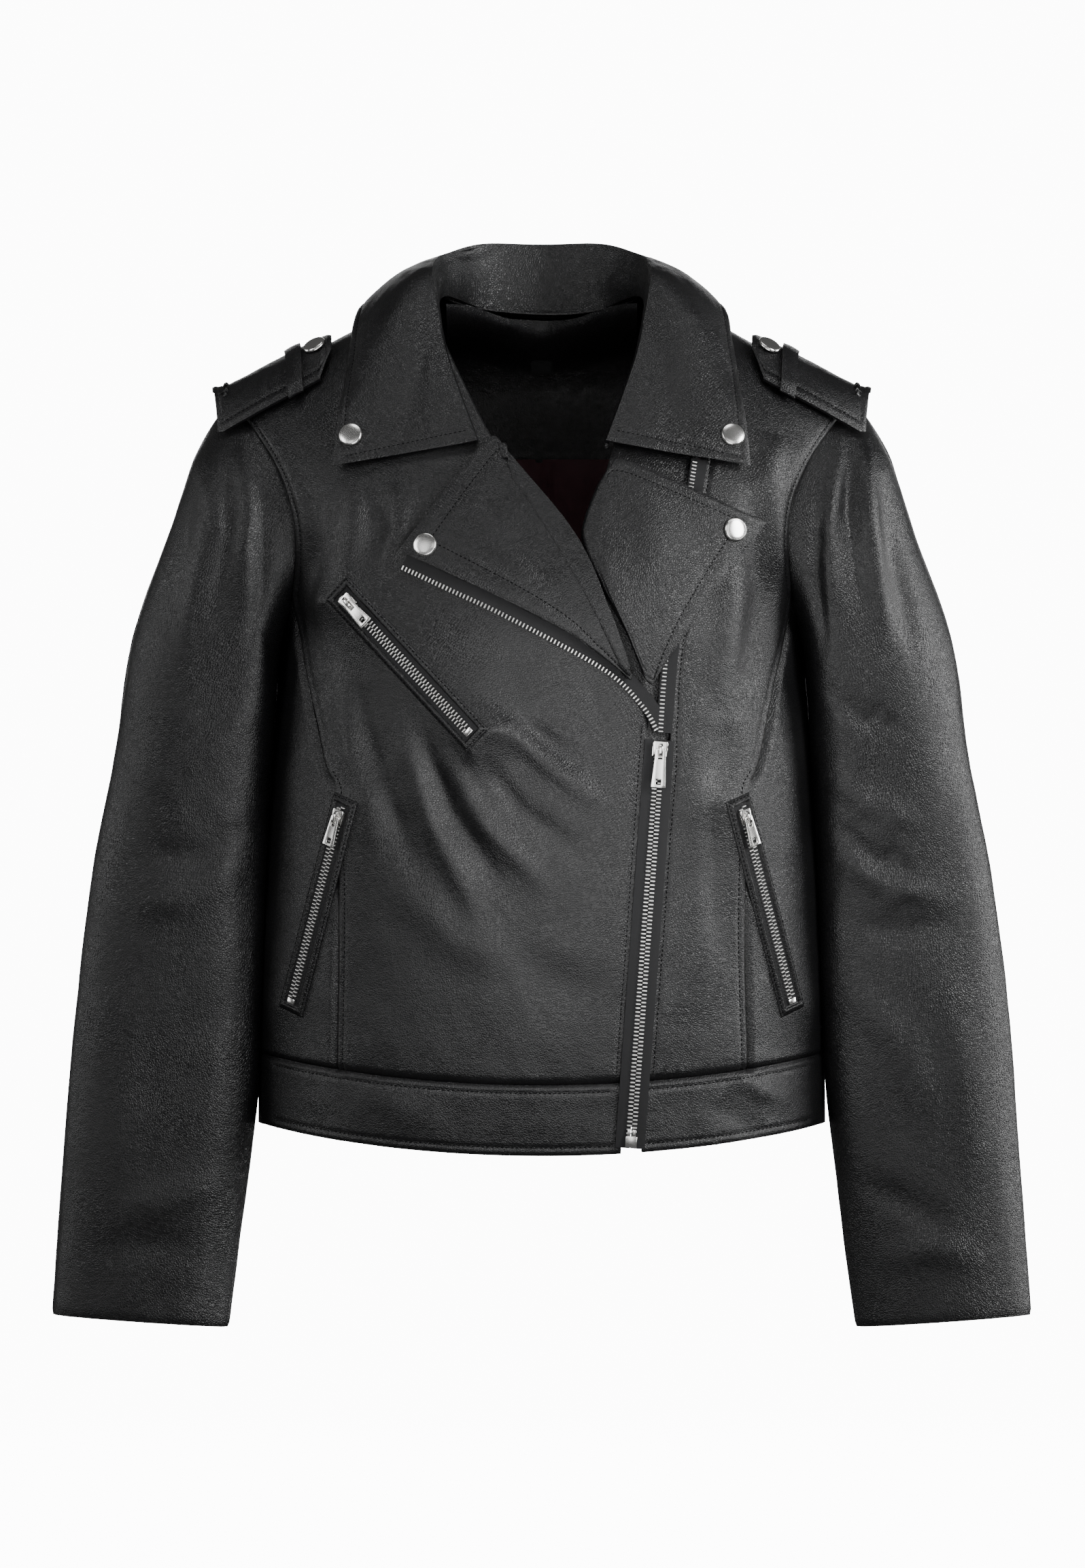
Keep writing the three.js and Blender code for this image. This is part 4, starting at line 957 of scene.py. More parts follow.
# Folds as lines over the sleeve's front: x and z of the left sleeve
left_sleeve_folds = [
    ([(200, -78), (198, -130), (204, -190)], 5.5, -3.4),
    ([(208, -84), (212, -140), (222, -210)], 6, 3.4),
    ([(190, -96), (184, -140), (186, -190)], 5, 3.0),
    ([(218, -100), (228, -160), (240, -220)], 6.5, -2.6),
    ([(178, -130), (176, -170), (182, -215)], 4.5, -2.4),
    ([(184, -240), (206, -262), (232, -268)], 6, -1.8),
    ([(186, -300), (210, -318), (244, -330)], 7, 1.6),
    ([(190, -330), (214, -352), (240, -362)], 6, -2.2),
    ([(192, -352), (226, -372), (262, -376)], 7, 2.0),
    ([(200, -392), (230, -400), (270, -392)], 8, -1.4),
    ([(196, -430), (230, -470), (250, -520)], 10, 1.4),
    ([(262, -420), (276, -500), (282, -570)], 12, 1.4),
    ([(204, -560), (236, -574), (262, -590)], 8, -1.4),
    ([(216, -610), (250, -604), (290, -612)], 8, 1.2),
]
right_sleeve_folds = [
    ([(192, -86), (188, -130), (192, -180)], 6, 2.6),
    ([(202, -90), (202, -140), (210, -200)], 6, -2.8),
    ([(214, -104), (220, -160), (232, -220)], 7, 2.2),
    ([(180, -130), (180, -180), (188, -220)], 5, -1.8),
    ([(182, -250), (210, -280), (236, -300)], 9, 1.4),
    ([(190, -330), (220, -350), (256, -350)], 9, -1.6),
    ([(192, -356), (226, -378), (266, -384)], 9, 1.4),
    ([(200, -440), (240, -470), (262, -520)], 12, -1.2),
    ([(206, -560), (240, -572), (270, -580)], 9, 1.2),
    ([(216, -606), (250, -600), (290, -606)], 9, -1.0),
]
front_seam, back_seam_angle = math.pi * 0.93, math.pi * 1.45
sleeve_length = 603


def sleeve_sheet(side, start, end, rows, seed):
    def base(u, v):
        return sleeve_place(np.mod(lerp(start, end, u) + 2 * math.pi, 2 * math.pi), v**1.35)

    def relief(u, v):
        p = base(u, v)
        s = v**1.35
        angle = np.mod(lerp(start, end, u) + 2 * math.pi, 2 * math.pi)
        facing = smooth((6 - p[:, 1]) / 16)
        lift = 1.3 * facing * folds(p[:, 0], p[:, 2], rows)
        around = angle * 55
        free = 1 - 0.85 * np.exp(-(((angle - math.pi) / 0.6) ** 2)) * smooth((0.86 - s) * 8)
        lift = lift + 1.3 * waves(around, s * 300, seed, 110, 2) * smooth(s * 5) * free
        lift = lift + 0.25 * waves(around, s * sleeve_length, seed + 1, 48, 2) * smooth(s * 3 - 0.4) * free
        lift = lift - 1.6 * np.exp(-((s * sleeve_length / 2.4) ** 2))
        lift = lift - 1.0 * np.exp(-(((1 - s) * sleeve_length / 1.6) ** 2))
        lift = lift - 0.75 * np.exp(-((((1 - s) * sleeve_length - 5) / 1.2) ** 2))
        seam = np.minimum(u, 1 - u) * abs(end - start) * 45
        return lift - 1.3 * np.exp(-((seam / 1.7) ** 2))

    def place(u, v):
        middle = (start + end) / 2
        return with_relief(base, relief, (math.cos(middle), -math.sin(middle), 0))(u, v) * [side, 1, 1]

    return place


for side, word, rows in ((-1, "right", right_sleeve_folds), (1, "left", left_sleeve_folds)):
    for part, start, end, columns in (
        ("top", back_seam_angle - 2 * math.pi, front_seam, 130),
        ("under", front_seam, back_seam_angle, 60),
    ):
        name = "sleeve_" + part + "_" + word
        middle = (start + end) / 2
        o = panel(
            name,
            sleeve_sheet(side, start, end, rows, 61 + side),
            columns,
            230,
            1.6,
            (side * math.cos(middle), -math.sin(middle), 0),
            body=None,
        )
        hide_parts(name)
        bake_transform(o)

# ---- Shoulder straps with their keepers ----
# Doubled leather, sewn into the armhole, pointed at the inner end and passed under a narrow loop.


def shoulder_slope(x, forward):
    z = shoulder_seam_z(x) - 26 * forward**2
    return np.stack([x, np.where(forward > 0, front_y(x, z), back_y(x, z)), z], -1)


def strap_place(along, across, lift):
    narrow = np.where(along < 0.1, lerp(0.35, 1, along / 0.1), 1)
    forward = lerp(-0.15, 1, 0.5 + (across - 0.5) * narrow)
    x = lerp(134, 214 - 7 * np.clip(forward, 0, 1), along)
    outwards = shoulder_slope(x + 1, forward) - shoulder_slope(x - 1, forward)
    forwards = shoulder_slope(x, forward + 0.01) - shoulder_slope(x, forward - 0.01)
    return shoulder_slope(x, forward) + unit(np.cross(forwards, outwards)) * np.asarray(lift)[..., None]


def strap_swell(u, v):
    return 6.2 + 0.8 * np.sin(math.pi * u) * np.sin(math.pi * v) + 0.4 * waves(u * 80, v * 40, 71, 40)


for side, word in ((-1, "right"), (1, "left")):

    def strap_sheet(u, v, side=side):
        near = np.minimum(np.minimum(u * 80, (1 - u) * 80), np.minimum(v, 1 - v) * 40)
        lift = strap_swell(u, v)
        lift = lift - 0.55 * np.exp(-(((near - 4) / 1.1) ** 2)) - 1.0 * np.exp(-((near / 1.4) ** 2))
        return strap_place(u, v, lift) * [side, 1, 1]

    o = panel("shoulder_strap_" + word, strap_sheet, 90, 50, 2.6, (0, -0.5, 1))
    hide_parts("shoulder_strap_" + word)

    def keeper_sheet(u, v, side=side):
        tuck = 2.4 * np.exp(-((np.minimum(v, 1 - v) * 45 / 2.5) ** 2))
        lift = 9.2 + 0.5 * np.sin(math.pi * u) - tuck
        return strap_place(0.3 + (u - 0.5) * 0.13, lerp(-0.05, 1.05, v), lift) * [side, 1, 1]

    o = panel("strap_keeper_" + word, keeper_sheet, 20, 50, 1.6, (0, -0.5, 1))
    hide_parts("strap_keeper_" + word)

# ---- Snap caps ----
# Flat polished caps of press studs with a fine raised rim, two on the lapels, two on the collar's leaves
# and two on the shoulder straps. Each covers the CAD cap and rides with what it is pressed through.
nickel = bpy.data.materials.new("nickel")
nickel.use_nodes = True
shader = nickel.node_tree.nodes["Principled BSDF"]
shader.inputs["Base Color"].default_value = (0.9, 0.89, 0.87, 1)
shader.inputs["Metallic"].default_value = 1.0
shader.inputs["Roughness"].default_value = 0.22
tooth_nickel = nickel.copy()
tooth_nickel.name = "tooth_nickel"
tooth_nickel.node_tree.nodes["Principled BSDF"].inputs["Roughness"].default_value = 0.36


def metal_piece(name, bm, matrix, body, *nodes):
    bmesh.ops.recalc_face_normals(bm, faces=bm.faces)
    bm.transform(matrix)
    mesh = bpy.data.meshes.new(name)
    bm.to_mesh(mesh)
    bm.free()
    mesh.shade_smooth()
    mesh.set_sharp_from_angle(angle=math.radians(35))
    o = finish_piece(name, mesh, nickel, body)
    if nodes:
        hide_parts(*nodes)
    return o


def round_edges(bm, edges, size, steps):
    bmesh.ops.bevel(bm, geom=list(edges), affect="EDGES", offset=size, segments=steps, profile=0.5, material=-1)


def facing_matrix(middle, out, up=(0, 0, 1)):
    """A matrix to metres from a flat frame in millimetres: X across, Y towards up, Z out."""
    z = unit(np.array(out, float))
    x = unit(np.cross(np.array(up, float), z))
    y = np.cross(z, x)
    m = Matrix.Identity(4)
    for i in range(3):
        m[i][0], m[i][1], m[i][2], m[i][3] = x[i] * MM, y[i] * MM, z[i] * MM, middle[i] * MM
    return m


def on_face(place, u, v, outward):
    """The middle and outward direction of a sheet at one u, v."""
    e = 0.01
    at = lambda a, b: place(np.array([a]), np.array([b]))[0]
    normal = unit(np.cross(at(u + e, v) - at(u - e, v), at(u, v + e) - at(u, v - e)))
    if normal @ np.array(outward, float) < 0:
        normal = -normal
    return at(u, v), normal


cap_radius = 7.7


def add_cap(name, body, middle, out):
    bm = bmesh.new()
    bmesh.ops.create_uvsphere(bm, u_segments=64, v_segments=48, radius=1.0)
    for v in bm.verts:
        r = math.hypot(v.co.x, v.co.y)
        rim = 0.16 * math.exp(-(((r - 0.9) / 0.05) ** 2))
        top = 1.6 * max(0.0, 1 - r**8) ** 0.5 + 0.55 * (1 - r * r) + rim
        under = -0.8 * max(0.0, 1 - r**8) ** 0.5
        v.co = (v.co.x * cap_radius, v.co.y * cap_radius, 0.6 + (top if v.co.z > 0 else under))
    return metal_piece(name, bm, facing_matrix(middle, out), body, name)


def cap_on_front(name, body, x, z, lift):
    middle = on_surface(front_y, -1, float(x), float(z), lift)
    out = on_surface(front_y, -1, float(x), float(z), lift + 1) - middle
    return add_cap(name, body, middle, out)


cap_on_front("lapel_snap_right", "lapel_right", -73, -153, 6.2)
cap_on_front("lapel_snap_left", "lapel_left", 121, -142, 6.2)
for side, word in ((-1, "right"), (1, "left")):
    around = 0.045 if side > 0 else 0.955
    middle, out = on_face(collar_place, around, 0.88, (0, -1, 0.2))
    add_cap("collar_snap_" + word, "root", middle + out * 0.2, out)
    middle = strap_place(np.array([0.13]), np.array([0.5]), 7.0)[0]
    out = strap_place(np.array([0.13]), np.array([0.5]), 8.0)[0] - middle
    add_cap("strap_snap_" + word, "root", middle * [side, 1, 1], out * [side, 1, 1])

# ---- Zips ----
# Nickel-plated metal teeth clamped on woven tape, each a small bevelled block, in two rows that mesh
# below the slider. The sliders are cast bodies with a bridge over the pull's bar.
tooth_pitch = 2.5


def add_teeth(name, rows, body, *nodes):
    """One tooth at each row of (middle, along, across, out)."""
    tooth = bmesh.new()
    bmesh.ops.create_cube(tooth, size=1.0, matrix=Matrix.Diagonal((3.2, 0.95, 1.7, 1)))
    round_edges(tooth, tooth.edges, 0.28, 1)
    tooth_mesh = bpy.data.meshes.new("tooth")
    tooth.to_mesh(tooth_mesh)
    tooth.free()
    bm = bmesh.new()
    for middle, along, across, out in rows:
        first = len(bm.verts)
        bm.from_mesh(tooth_mesh)
        bm.verts.ensure_lookup_table()
        m = Matrix.Identity(4)
        for i in range(3):
            m[i][0], m[i][1], m[i][2], m[i][3] = across[i], along[i], out[i], middle[i]
        bmesh.ops.transform(bm, matrix=m, verts=bm.verts[first:])
    bpy.data.meshes.remove(tooth_mesh)
    o = metal_piece(name, bm, Matrix.Scale(MM, 4), body, *nodes)
    o.data.materials[0] = tooth_nickel
    return o


def closed_chain(frame_of, start, end, width):
    """Both rows of a closed chain between two places along a straight zip, half a pitch apart."""
    middle, across, along, out, _ = frame_of
    rows = []
    for side in (-1, 1):
        y = start + (tooth_pitch / 2 if side > 0 else 0)
        while y < end:
            at = middle + along * y + across * side * (width / 2 - 1.4) + out * 1.6
            rows.append((at, along, across, out))
            y += tooth_pitch
    return rows


def frame_matrix(frame_of, y, height):
    middle, across, along, out, _ = frame_of
    at = middle + along * y + out * height
    m = Matrix.Identity(4)
    for i in range(3):
        m[i][0], m[i][1], m[i][2], m[i][3] = across[i] * MM, along[i] * MM, out[i] * MM, at[i] * MM
    return m


def add_slider(name, frame_of, chain, y, top, body, *nodes):
    """A slider: a body that narrows towards the closed side, side lips and a bridge over the pull."""
    half = chain / 2 + 1.7
    bm = bmesh.new()
    bmesh.ops.create_grid(bm, x_segments=6, y_segments=8, size=0.5)
    for v in bm.verts:
        along = v.co.y
        v.co.x *= 2 * (half + 0.5 - 1.6 * smooth(0.5 - along) + 0.4 * along)
        v.co.x *= 1 - 0.18 * abs(2 * along) ** 4
        v.co.y = along * 10.5
    solid = bmesh.ops.extrude_face_region(bm, geom=list(bm.faces))
    raised = [g for g in solid["geom"] if isinstance(g, bmesh.types.BMVert)]
    bmesh.ops.translate(bm, verts=raised, vec=(0, 0, 1.3))
    rim = [e for e in bm.edges if len(e.link_faces) == 2 and e.calc_face_angle(0) > 1.0]
    round_edges(bm, rim, 0.4, 3)
    for side in (-1, 1):
        made = bmesh.ops.create_cube(
            bm,
            size=1.0,
            matrix=Matrix.Translation((side * (half - 0.3), 0, -0.9)) @ Matrix.Diagonal((1.1, 8.6, 2.4, 1)),
        )
        edges = {e for v in made["verts"] for e in v.link_edges}
        round_edges(bm, edges, 0.3, 2)
    bar = bmesh.ops.create_grid(bm, x_segments=2, y_segments=16, size=0.5)["verts"]
    for v in bar:
        along = v.co.y
        v.co.x *= 2.3
        v.co.z = 1.4 + 2.2 * (1 - abs(2 * along) ** 3.2)
        v.co.y = along * 8.4 - 0.3
    faces = {f for v in bar for f in v.link_faces}
    solid = bmesh.ops.extrude_face_region(bm, geom=list(faces))
    raised = [g for g in solid["geom"] if isinstance(g, bmesh.types.BMVert)]
    bmesh.ops.translate(bm, verts=raised, vec=(0, 0, 0.9))
    edges = {
        e
        for v in [*raised, *bar]
        for e in v.link_edges
        if len(e.link_faces) == 2 and e.calc_face_angle(0) > 1.0
    }
    round_edges(bm, edges, 0.25, 2)
    return metal_piece(name, bm, frame_matrix(frame_of, y, top), body, *nodes)


def add_pull(name, frame_of, y, height, length, body, *nodes):
    """A flat tapering pull with a slot for the bridge and a small square window near its end."""
    rows = [0.7, -0.7, -6.1, 3.1 + 3.0 - length, 3.1 - length - 0.4, 0.7 - length]
    bm = bmesh.new()
    bmesh.ops.create_grid(bm, x_segments=3, y_segments=5, size=0.5)
    for v in bm.verts:
        i, j = round((v.co.x + 0.5) * 3), round((0.5 - v.co.y) * 5)
        along = rows[j]
        width = lerp(6.4, 9.6, (0.7 - along) / length)
        inner = 1.5 if j in (1, 2) else 1.7
        v.co.x = [-width / 2, -inner, inner, width / 2][i]
        v.co.y = along
    holes = [
        f
        for f in bm.faces
        if abs(f.calc_center_median().x) < 0.5
        and (-6.1 < f.calc_center_median().y < -0.7 or 2.7 - length < f.calc_center_median().y < 6.1 - length)
    ]
    bmesh.ops.delete(bm, geom=holes, context="FACES")
    solid = bmesh.ops.extrude_face_region(bm, geom=list(bm.faces))
    raised = [g for g in solid["geom"] if isinstance(g, bmesh.types.BMVert)]
    bmesh.ops.translate(bm, verts=raised, vec=(0, 0, 1.4))
    rim = [e for e in bm.edges if len(e.link_faces) == 2 and e.calc_face_angle(0) > 1.0]
    round_edges(bm, rim, 0.4, 3)
    return metal_piece(name, bm, frame_matrix(frame_of, y, height - 0.7), body, *nodes)


def add_block(name, frame_of, size, at, material, slot, bevel, body, *nodes):
    bm = bmesh.new()
    bmesh.ops.create_cube(bm, size=1.0, matrix=Matrix.Translation(at) @ Matrix.Diagonal((*size, 1)))
    round_edges(bm, bm.edges, bevel, 2)
    o = metal_piece(name, bm, frame_matrix(frame_of, 0, 0), body, *nodes)
    o.data.materials[0] = material
    return o


# ---- Pockets: a stitched leather frame, the zip in its slot ----
# Each frame is a folded strip mitred at its corners. The tape closes the slot behind the chain.
for key, prefix, slider_body, pull_body in (
    ("chest", "chest_pocket", "chest_slider", "chest_pull"),
    ("hip_right", "hip_pocket_right", "hip_slider_right", "hip_pull_right"),
    ("hip_left", "hip_pocket_left", "hip_slider_left", "hip_pull_left"),
):
    middle, across, along, out, length = pockets[key]
    half = length / 2
    slot_end = half - 4.5
    bm = bmesh.new()
    bmesh.ops.create_grid(bm, x_segments=42, y_segments=220, size=0.5)
    for v in bm.verts:
        v.co.x *= 21.0
        v.co.y *= length + 1
    slot_faces = [
        f
        for f in bm.faces
        if abs(f.calc_center_median().x) < 6.0 and abs(f.calc_center_median().y) < slot_end
    ]
    bmesh.ops.delete(bm, geom=slot_faces, context="FACES")
    for v in bm.verts:
        outer = min(10.5 - abs(v.co.x), half + 0.5 - abs(v.co.y))
        inner = max(abs(v.co.x) - 6.0, abs(v.co.y) - slot_end)
        puff = 0.8 * math.exp(-(((inner - 1.6) / 1.1) ** 2))
        seam = 0.5 * math.exp(-(((outer - 1.2) / 0.6) ** 2))
        turned = 1.5 * math.exp(-((outer / 0.7) ** 2)) + 1.0 * math.exp(-((inner / 0.6) ** 2))
        v.co.z = 1.5 + puff - seam - turned
    solid = bmesh.ops.extrude_face_region(bm, geom=list(bm.faces))
    sunk = [g for g in solid["geom"] if isinstance(g, bmesh.types.BMVert)]
    bmesh.ops.translate(bm, verts=sunk, vec=(0, 0, -1.0))
    o = metal_piece(prefix + "_welt", bm, frame_matrix(pockets[key], 0, 0), "root", prefix + "_welt")
    o.data.materials[0] = leather
    add_block(
        prefix + "_tape",
        pockets[key],
        (15.0, 2 * slot_end + 4, 0.6),
        (0, 0, 0.2),
        tape_cloth,
        "tape",
        0.1,
        "root",
    )
    travel_end = slot_end - 1.5
    add_teeth(
        prefix + "_chain",
        closed_chain(pockets[key], -travel_end + 4, travel_end, 6.0),
        "root",
        prefix + "_chain",
    )
    add_block(
        prefix + "_stop",
        pockets[key],
        (6.0, 3.4, 1.9),
        (0, -travel_end + 1.2, 1.5),
        nickel,
        "nickel",
        0.3,
        "root",
    )
    slider_y = half - 7 - 6
    add_slider(key + "_slider", pockets[key], 5.0, slider_y, 2.75, slider_body, key + "_slider")
    add_pull(key + "_pull", pockets[key], slider_y, 4.95, 20.0, pull_body, key + "_pull")

# ---- Main zip: the closed chain, its tapes, box and slider, and the open rows above ----
main_zip = zip_frame((56, -536), (75, -276), 16)
main_half = main_zip[4] / 2
for side, word in ((-1, "right"), (1, "left")):
    add_block(
        "main_zip_tape_" + word,
        main_zip,
        (9.4, main_zip[4], 0.5),
        (side * 4.9, 0, 0.2),
        tape_cloth,
        "tape",
        0.1,
        "root",
        "main_zip_tape_" + word,
    )
rows = closed_chain(main_zip, -main_half + 9.5, main_half - 9, 6.2)
add_teeth("main_zip_teeth", rows, "root", "main_zip_teeth_right", "main_zip_teeth_left")
bm = bmesh.new()
pins = [((x, 9.0, -0.2), (2.2, 5.0, 1.8, 1)) for x in (-1.7, 1.7)]
for at, size in [((0, 3.6, 0), (7.4, 7.2, 2.4, 1)), *pins]:
    made = bmesh.ops.create_cube(bm, size=1.0, matrix=Matrix.Translation(at) @ Matrix.Diagonal(size))
    edges = {e for v in made["verts"] for e in v.link_edges}
    round_edges(bm, edges, 0.35, 3)
metal_piece("main_zip_box", bm, frame_matrix(main_zip, -main_half + 0.5, 1.9), "root", "main_zip_box")
add_slider("main_slider", main_zip, 6.0, main_half - 6, 3.05, "main_slider", "main_slider")
add_pull("main_pull", main_zip, main_half - 6, 5.25, 25.0, "main_pull", "main_pull")


def open_teeth(path, lift):
    """One row of teeth along a line of the front view."""
    t = np.linspace(0, 1, 400)
    places = on_surface(front_y, -1, path(t)[:, 0], path(t)[:, 1], lift)
    run = np.concatenate([[0], np.cumsum(np.linalg.norm(np.diff(places, axis=0), axis=1))])
    rows = []
    for d in np.arange(0.8, run[-1] - 0.6, tooth_pitch):
        s = float(np.interp(d, run, t))
        a, b = path(np.array([s - 0.002, s + 0.002]))
        c = path(np.array([s]))[0]
        at = on_surface(front_y, -1, c[0], c[1], lift)
        out = unit(on_surface(front_y, -1, c[0], c[1], lift + 1) - at)
        along = unit(on_surface(front_y, -1, b[0], b[1], lift) - on_surface(front_y, -1, a[0], a[1], lift))
        across = unit(np.cross(along, out))
        rows.append((at, along, across, unit(np.cross(across, along))))
    return rows


right_row = line((72.5, -270), (63, -254), (39, -231), (-20, -199), (-60, -180), (-89, -166))
add_teeth("lapel_teeth_right", open_teeth(right_row, 2.2), "lapel_right", "lapel_teeth_right")
left_row = lambda t: open_row(lerp(0.045, 1.0, t))
add_teeth("open_teeth_left", open_teeth(left_row, 1.0), "root", "open_teeth_left")


def tape_strip(path, start, end, lift):
    def place(u, v):
        a, b = path(np.clip(v - 0.002, 0, 1)), path(np.clip(v + 0.002, 0, 1))
        d = unit(b - a)
        sideways = np.stack([-d[:, 1], d[:, 0]], -1)
        p = path(v) + sideways * lerp(start, end, u)[:, None]
        return on_surface(front_y, -1, p[:, 0], p[:, 1], lift)

    return place


strip = tape_strip(right_row, 1.2, -9, 1.4)
o = panel("lapel_tape_right", strip, 6, 110, 0.5, (0, -1, 0), tape_cloth, "lapel_right")
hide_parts("lapel_tape_right")
panel("open_tape_left", tape_strip(left_row, 2.2, -8, 0.3), 6, 80, 0.5, (0, -1, 0), tape_cloth)

# ---- Topstitching ----
# Black thread in short stitches along every row, lying in the groove it pulls into the leather.
thread = bpy.data.materials.new("thread")
thread.use_nodes = True
shader = thread.node_tree.nodes["Principled BSDF"]
shader.inputs["Base Color"].default_value = (0.0015, 0.0015, 0.002, 1)
shader.inputs["Roughness"].default_value = 0.85
shader.inputs["Specular IOR Level"].default_value = 0.15


def add_stitches(name, rows, body, pitch=3.1):
    """rows holds pairs of places and places raised by 1 along each row."""
    stitch = bmesh.new()
    halves = Matrix.Diagonal((0.42, 1.15, 0.32, 1))
    bmesh.ops.create_icosphere(stitch, subdivisions=1, radius=1.0, matrix=halves)
    stitch_mesh = bpy.data.meshes.new("stitch")
    stitch.to_mesh(stitch_mesh)
    stitch.free()
    base = np.zeros(len(stitch_mesh.vertices) * 3)
    stitch_mesh.vertices.foreach_get("co", base)
    base = base.reshape(-1, 3)
    count, places = 0, []
    for row, raised in rows:
        run = np.concatenate([[0], np.cumsum(np.linalg.norm(np.diff(row, axis=0), axis=1))])
        d = np.arange(pitch / 2, run[-1], pitch)
        at, ahead, behind, up = (
            np.stack([np.interp(x, run, p[:, k]) for k in range(3)], -1)
            for x, p in ((d, row), (d + 0.3, row), (d - 0.3, row), (d, raised - row))
        )
        along, up = unit(ahead - behind), unit(up)
        across = unit(np.cross(along, up))
        up = np.cross(across, along)
        pts = at[:, None] + base[None, :, :1] * across[:, None] + base[None, :, 1:2] * along[:, None]
        places.append((pts + base[None, :, 2:] * up[:, None]).reshape(-1, 3))
        count += len(d)
    bm = bmesh.new()
    for _ in range(count):
        bm.from_mesh(stitch_mesh)
    mesh = bpy.data.meshes.new(name)
    bm.to_mesh(mesh)
    bm.free()
    bpy.data.meshes.remove(stitch_mesh)
    mesh.vertices.foreach_set("co", (np.concatenate(places) * MM).ravel())
    mesh.shade_smooth()
    return finish_piece(name, mesh, thread, body)


def front_row_places(places, rows):
    x, z = places[:, 0], places[:, 1]
    lift = front_relief(x, z, rows)
    return on_surface(front_y, -1, x, z, lift + 0.05), on_surface(front_y, -1, x, z, lift + 1)


def back_row_places(places):
    x, z = places[:, 0], places[:, 1]
    lift = back_relief(x, z)
    return on_surface(back_y, 1, x, z, lift + 0.05), on_surface(back_y, 1, x, z, lift + 1)


front_stitches = []
for key, places in front_rows.items():
    rows = left_folds if key.endswith("left") else right_folds
    if key.startswith(("band", "hem")):
        rows = band_folds
    if key.startswith("princess"):
        places = places[:36]
    front_stitches.append(front_row_places(places, rows))
add_stitches("front_stitching", front_stitches, "root")
add_stitches("back_stitching", [back_row_places(p) for p in back_rows.values()], "root")
for key, (middle, across, along, out, length) in pockets.items():
    w, h = 9.3, length / 2 - 0.7
    corners = [(w, h), (-w, h), (-w, -h), (w, -h), (w, h)]
    rows = []
    for (x0, y0), (x1, y1) in zip(corners[:-1], corners[1:]):
        t = np.linspace(0, 1, 30)[:, None]
        row = middle + across * lerp(x0, x1, t) + along * lerp(y0, y1, t) + out * 1.15
        rows.append((row, row + out))
    add_stitches(key + "_pocket_stitching", rows, "root")


def sheet_rows(place, lines, outward):
    """Stitch rows over a sheet, each given as arrays of u and v."""
    rows = []
    for u, v in lines:
        e = 0.004
        across = place(np.clip(u + e, 0, 1), v) - place(np.clip(u - e, 0, 1), v)
        along = place(u, np.clip(v + e, 0, 1)) - place(u, np.clip(v - e, 0, 1))
        normal = unit(np.cross(across, along))
        if normal.mean(0) @ np.array(outward, float) < 0:
            normal = -normal
        at = place(u, v) + 0.05 * normal
        rows.append((at, at + normal))
    return rows


inset = 6.5
t = np.linspace(0.02, 0.98, 120)
for word, outline, seed, rows_of in (
    ("right", right_lapel, 21, right_lapel_folds),
    ("left", left_lapel, 22, left_lapel_folds),
):
    place = lapel_sheet(outline, 60, 110, seed, rows_of)
    u_edge = np.full(120, inset / 60 * 0.86)
    v_range = lerp(inset / 110, 1 - inset / 110, t)
    lines = [(u_edge, v_range), (lerp(inset / 60 * 0.86, 0.8, t), np.full(120, 1 - inset / 110))]
    add_stitches("lapel_stitching_" + word, sheet_rows(place, lines, (0, -1, 0)), "lapel_" + word)
collar_face = with_relief(collar_sheet, collar_relief, (0, 0.3, 1))
t = np.linspace(0.035, 0.965, 300)
lengths = lerp(62, 100, np.abs(t - 0.5) * 2)
edge_v = fold_share + (1 - inset / lengths) * (1 - fold_share)
leaf_v = np.linspace(fold_share + 0.04, fold_share + (1 - inset / 100) * (1 - fold_share), 60)
lines = [(t, edge_v), (np.full(60, 0.5 * inset / 205), leaf_v), (np.full(60, 1 - 0.5 * inset / 205), leaf_v)]
add_stitches("collar_stitching", sheet_rows(collar_face, lines, (0, 0.3, 1)), "root")
for side, word in ((-1, "right"), (1, "left")):

    def strap_face(u, v, side=side):
        return strap_place(u, v, strap_swell(u, v) - 0.5) * [side, 1, 1]

    t = np.linspace(0.08, 0.93, 60)
    w = np.linspace(0.16, 0.86, 30)
    lines = [(t, np.full(60, 0.14)), (t, np.full(60, 0.9)), (np.full(30, 0.075), w)]
    add_stitches("strap_stitching_" + word, sheet_rows(strap_face, lines, (0, -0.5, 1)), "root")
    rows = right_sleeve_folds if side < 0 else left_sleeve_folds
    place = sleeve_sheet(side, back_seam_angle - 2 * math.pi, front_seam, rows, 61 + side)
    u = np.linspace(0.01, 0.99, 160)
    v = np.full(160, (1 - 5 / sleeve_length) ** (1 / 1.35))
    middle = (back_seam_angle - 2 * math.pi + front_seam) / 2
    outward = (side * math.cos(middle), -math.sin(middle), 0)
    add_stitches("cuff_stitching_" + word, sheet_rows(place, [(u, v)], outward), "sleeve_" + word)

# ---- Studio ----
# A glowing white floor that curves up all round. It is seen by the camera only, so the leather isn't rimmed
# by it. Soft lights stand at both sides, above and near the camera.
bm = bmesh.new()
floor_z, flat, bend = -0.95, 21.0, 3.0
profile = [(0.0, floor_z), (6.0, floor_z), (flat, floor_z)]
for a in np.linspace(0.1, math.pi / 2, 10):
    profile.append((flat + bend * math.sin(a), floor_z + bend * (1 - math.cos(a))))
profile.append((flat + bend, 18.0))
line_verts = [bm.verts.new((r, 0, z)) for r, z in profile]
line_edges = [bm.edges.new(pair) for pair in zip(line_verts[:-1], line_verts[1:])]
geom, turn = line_verts + line_edges, 2 * math.pi
bmesh.ops.spin(bm, geom=geom, cent=(0, 0, 0), axis=(0, 0, 1), angle=turn, steps=48, use_merge=True)
bmesh.ops.remove_doubles(bm, verts=bm.verts, dist=1e-4)
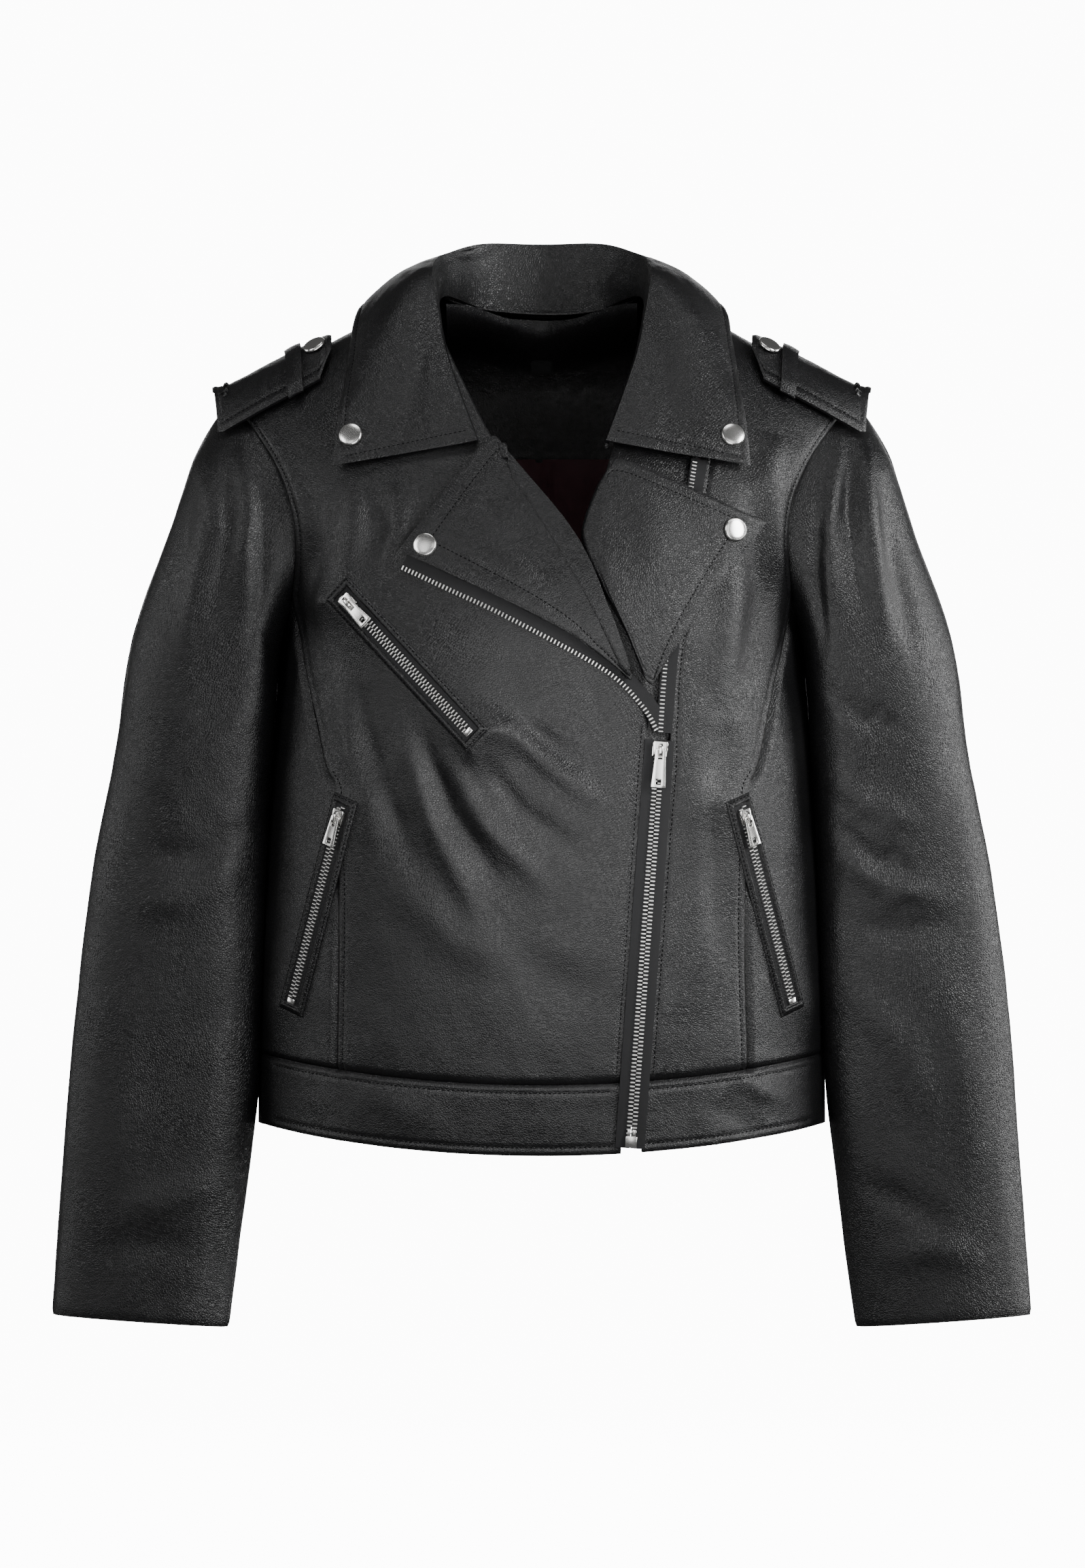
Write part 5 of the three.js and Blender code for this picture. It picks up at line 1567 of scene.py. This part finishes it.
bmesh.ops.recalc_face_normals(bm, faces=bm.faces)
mesh = bpy.data.meshes.new("backdrop")
bm.to_mesh(mesh)
bm.free()
mesh.shade_smooth()
backdrop = bpy.data.objects.new("backdrop", mesh)
bpy.context.scene.collection.objects.link(backdrop)
pale = bpy.data.materials.new("pale_paper")
pale.use_nodes = True
shader = pale.node_tree.nodes["Principled BSDF"]
shader.inputs["Base Color"].default_value = (0.95, 0.95, 0.95, 1)
shader.inputs["Roughness"].default_value = 0.9
shader.inputs["Emission Color"].default_value = (1, 1, 1, 1)
shader.inputs["Emission Strength"].default_value = 12.0
backdrop.data.materials.append(pale)
backdrop.visible_diffuse = False
backdrop.visible_glossy = False
backdrop.visible_shadow = False

world = bpy.data.worlds.new("studio")
bpy.context.scene.world = world
world.use_nodes = True
world.node_tree.nodes["Background"].inputs["Color"].default_value = (1, 1, 1, 1)
world.node_tree.nodes["Background"].inputs["Strength"].default_value = 0.075


def add_light(name, place, aim, size, power):
    data = bpy.data.lights.new(name, "AREA")
    data.shape = "RECTANGLE"
    data.size, data.size_y = size
    data.energy = power
    o = bpy.data.objects.new(name, data)
    bpy.context.scene.collection.objects.link(o)
    o.visible_camera = False
    o.location = place
    o.rotation_mode = "QUATERNION"
    o.rotation_quaternion = (Vector(aim) - Vector(place)).to_track_quat("-Z", "Y")


add_light("key_right", (2.2, -1.6, 0.5), (0.05, 0, -0.25), (0.9, 1.8), 62)
add_light("fill_left", (-2.2, -1.8, 0.6), (-0.05, 0, -0.25), (0.9, 1.6), 19)
add_light("top", (0.0, -0.8, 2.2), (0, 0, -0.2), (1.6, 1.0), 16)
add_light("side_right", (2.4, 0.5, 0.1), (0.2, 0, -0.3), (1.0, 1.6), 44)
add_light("side_left", (-2.4, 0.3, 0.1), (-0.2, 0, -0.3), (1.0, 1.6), 12)
add_light("card_right", (1.0, -2.4, 0.2), (0.05, 0, -0.25), (0.6, 1.6), 4.5)
add_light("card_left", (-1.15, -2.4, 0.6), (-0.05, 0, -0.2), (0.6, 1.0), 2.5)
add_light("card_over", (0.0, -3.4, 1.1), (0, 0, -0.1), (1.4, 0.7), 3)
add_light("behind", (0.0, 3.2, 0.4), (0, 0, -0.3), (2.0, 1.6), 30)
add_light("neck", (0.02, -0.45, -0.32), (0, 0.08, -0.04), (0.35, 0.35), 1.2)

camera_data = bpy.data.cameras.new("camera")
camera_data.lens = 212.5
camera = bpy.data.objects.new("camera", camera_data)
bpy.context.scene.collection.objects.link(camera)
bpy.context.scene.camera = camera
camera.location = (0.0005, -6.0, -0.304)
camera.rotation_euler = (math.radians(90.0), 0, 0)
camera_data.clip_end = 100
